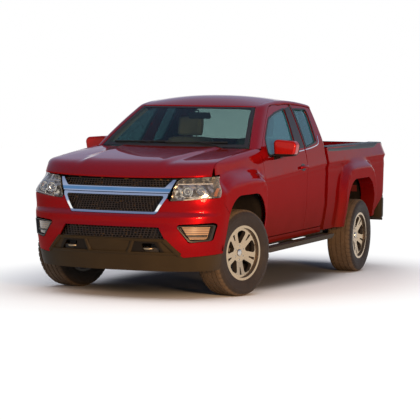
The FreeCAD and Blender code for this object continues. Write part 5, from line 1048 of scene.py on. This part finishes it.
# Painted glints: warm bright specks on the black moulding.
baffle.two_tone((0.005, 0.004, 0.004), (0.22, 0.12, 0.035), baffle.noise(26.0, 1.0, (1, 1, 3)).rise(0.6, 0.7))
guides = Form()
for inset, low, high, half in ((78, 736, 1048, 560), (76, 536, 652, 500), (150, 402, 534, 560)):
    guides.sheet([[nose(x, z, inset) for x in steps(-half, half, 31)] for z in steps(low, high, 7)],
                 BACK * 0.004)
guides.piece("air_guides", baffle)

# Cabin
# Charcoal dashboard and wheel, pale cloth seats and headliner. The room mirror hangs
# from the windshield.

cabin = grained("cabin_plastic", (0.03, 0.028, 0.026), (0.055, 0.05, 0.045), 500.0, 0.0004, 0.5,
                Specular_IOR_Level=0.3, Roughness=0.6)
cabin.coat("dashboard", "steering_wheel")
liner = speckled("headliner_cloth", (0.5, 0.44, 0.36), (0.62, 0.55, 0.45), 300.0, Roughness=0.95,
                 Specular_IOR_Level=0.1)
roof_skin = Skin("roof")
rows = []
for s in steps(1960, 3060, 16):
    spots = [at(x, s, 1000) for x in steps(-520, 520, 13)]
    rows.append([roof_skin.land(spot, UP, Vector((spot.x, spot.y, 1.68))) - UP * 0.012 for spot in spots])
Form().sheet(rows, UP * -0.004).piece("headliner", liner, slot="seat_cloth", sharp=60)
pillars = Form()
for hand in (1, -1):
    pillars.swept([screen(hand * 0.955, v, -0.026) for v in steps(0.05, 0.97, 12)],
                  [(-22, -12), (-22, 4), (22, 4), (22, -12)], SCREEN_OUT)
pillars.piece("pillar_trims", liner, slot="cabin_plastic")
room_mirror = Form().block(at(0, 1965, 1556), (225, 26, 62), 10, Matrix.Rotation(radians(12), 3, "X"))
room_mirror.rod([at(0, 1955, 1575), at(0, 1925, 1606), screen(0, 0.9, -0.006)], 6)
room_mirror.piece("room_mirror", cabin, slot="cabin_plastic", bevel=4)

# Seats
# Two front buckets and two folding rear pads. Foam covered in woven cloth, sewn in
# a raised bolster each side of a fluted middle; the headrests stand on steel posts.

cloth = Finish("seat_cloth", Roughness=0.95, Specular_IOR_Level=0.15)
weave = cloth.along("X").wave(0.004) * 0.4 + cloth.along("Z").wave(0.004) * 0.4
cloth.two_tone((0.4, 0.34, 0.27), (0.56, 0.49, 0.4), weave + cloth.noise(6.0) * 0.2)
cloth.bump(weave, 0.0006, 0.6)


def cushion(name, centre, size, tilt, bolster, flutes=4):
    """A sewn cushion: size is across, deep and thick in millimetres; it swells between its seams."""
    across, deep, thick = size
    turn = Matrix.Rotation(radians(tilt), 3, "X")
    faces = []
    for sign in (1, -1):
        faces.append([])
        for v in steps(-1, 1, 13):
            row = []
            for u in steps(-1, 1, 17):
                edge = (1 - abs(u) ** 6) * (1 - abs(v) ** 6)
                swell = thick / 2 * (0.42 + 0.58 * edge ** 0.5)
                if sign > 0:
                    swell += bolster * exp(-((abs(u) - 0.8) / 0.16) ** 2) * edge
                    if abs(u) < 0.62:
                        swell -= 5 * (0.5 + 0.5 * cos(u * pi * flutes)) * edge
                x, y = u * across / 2 * (1 - 0.05 * abs(v) ** 4), v * deep / 2 * (1 - 0.05 * abs(u) ** 4)
                row.append(centre + turn @ Vector((x, y, sign * swell)) / 1000)
            faces[-1].append(row)
    thing = Form().slab(*faces).piece(name, cloth, slot="seat_cloth", sharp=180, rounds=1)
    return thing


posts = Form()
for side, hand in SIDES:
    x = hand * 370
    front = cushion("front_cushion_" + side, at(x, 2235, 668), (520, 520, 130), 4, 22)
    cushion("front_backrest_" + side, at(x, 2540, 1030), (510, 640, 120), 76, 22)
    cushion("front_headrest_" + side, at(x, 2618, 1440), (265, 190, 92), 80, 4, 0)
    cushion("rear_cushion_" + side, at(x, 2885, 668), (430, 390, 90), 4, 8)
    cushion("rear_backrest_" + side, at(x, 3086, 930), (430, 440, 80), 84, 8)
    for post in (x - 62, x + 62):
        posts.rod([at(post, 2618, 1300), at(post, 2622, 1400)], 6)
    posts.block(at(x, 2250, 560), (430, 420, 60), 10)
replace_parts(front, "seats")
posts.piece("seat_posts_and_bases", nut_steel, slot="cast_metal", sharp=40)

# Frame, axles, engine and underside
# Waxed black steel below; the engine, gearbox, knuckles and radiator in cast or drawn
# aluminium, dulled by road film; the exhaust in stainless steel.

wax = Finish("black_frame_wax", Specular_IOR_Level=0.3)
film = wax.noise(7.0, 5.0)
wax.two_tone((0.01, 0.01, 0.01), (0.042, 0.034, 0.027), film, Roughness=0.45 + film * 0.3)
wax.coat("frame", "front_suspension", "rear_axle", "leaf_springs", "driveshaft", "fuel_tank", "bumper_beam",
         "spare_wheel")
cast = Finish("cast_aluminium", Metallic=0.8)
pits = cast.noise(260.0, 3.0)
cast.two_tone((0.18, 0.17, 0.16), (0.34, 0.32, 0.3), pits, Roughness=0.5 + pits * 0.2)
cast.bump(pits, 0.0008, 0.4)
cast.coat("engine", "knuckle_left", "knuckle_right")
fins = Finish("radiator_fins", Metallic=0.7, Roughness=0.5)
core = fins.along("Z").wave(0.01) * fins.along("X").wave(0.003)
fins.two_tone((0.025, 0.025, 0.025), (0.16, 0.16, 0.16), core)
fins.coat("radiator")
stainless = Finish("exhaust_steel", Metallic=1.0)
heat = stainless.noise(5.0, 4.0)
stainless.two_tone((0.3, 0.27, 0.23), (0.5, 0.46, 0.42), heat, Roughness=0.35 + heat * 0.2)
stainless.coat("exhaust")

# Rear bumper corners
# Grained black end caps, moulded and bolted on, that wrap the rear bumper round
# under the tail lamps.

for side, hand in SIDES:
    end = Form().block((hand * 0.748, 2.57, 0.636), (140, 106, 256), 24)
    end.piece("bumper_corner_" + side, moulding, sharp=60, bevel=10)

# Under the hood
# A ribbed black cover with its filler cap on the engine, the air cleaner and its
# corrugated hose on the left, the battery on the right.

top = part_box("engine")[1].z
dressing = Form().block((0, -1.52, top + 0.007), (400, 560, 18), 6)
for x in steps(-0.14, 0.14, 5):
    dressing.block((x, -1.52, top + 0.017), (16, 480, 10), 3)
dressing.turned([(0, 30), (14, 30), (18, 26), (18, 0)], (0.1, -1.83, top), UP, 24)
dressing.block((0.43, -1.62, 0.86), (220, 300, 200), 16)
dressing.block((0.43, -1.62, 0.965), (232, 312, 16), 5)
rows = []
for index, t in enumerate(steps(0, 1, 49)):
    spot = Vector((0.36, -1.47, 0.9)).lerp(Vector((0.2, -1.3, 0.94)), t) + UP * (0.05 * sin(t * pi))
    size = 0.036 if index % 2 else 0.031
    rows.append([spot + Vector((0.6 * cos(turn), 0.8 * cos(turn), sin(turn))) * size
                 for turn in ring(20)])
dressing.grid(rows, loop=True).piece("engine_cover_and_air_box", moulding, sharp=40, bevel=2)
battery = Form().block((-0.44, -1.62, 0.85), (190, 270, 190), 6)
battery.block((-0.44, -1.62, 0.95), (180, 258, 12), 4)
for y in (-1.72, -1.52):
    battery.turned([(0, 11), (22, 9), (22, 0)], (-0.41, y, 0.955), UP, 16)
battery.piece("battery", cabin, sharp=40)

# Door trims
# Moulded charcoal inner panels clipped to the doors, each with an armrest over a
# map pocket.

for (door, skin), first, last, low in zip(DOORS, (1500, 2650), (2540, 3060), (560, 600)):
    rows = []
    for z in steps(low, 1185, 26):
        row = []
        for s in steps(first, last, 36):
            place = skin.land(at(0, s, z), LEFT, at(800, s, z))
            depth = 5 if 0.06 < (z - low) / (1185 - low) < 0.94 and first + 50 < s < last - 50 else 1.5
            if 850 < z < 930 and first + 160 < s < last - 90:
                depth += 34 * sin(pi * (z - 850) / 80) ** 0.6
            if low + 40 < z < 760 and first + 100 < s < last - 100:
                depth += 14
            row.append((place if place.x > 0.7 else at(800, s, z)) - LEFT * (depth / 1000))
        rows.append(row)
    Form().sheet(rows, LEFT * 0.0012).both(
        "door_trim_%s_{}" % door, cabin, door + "_door_{}_body", "cabin_plastic", sharp=50)
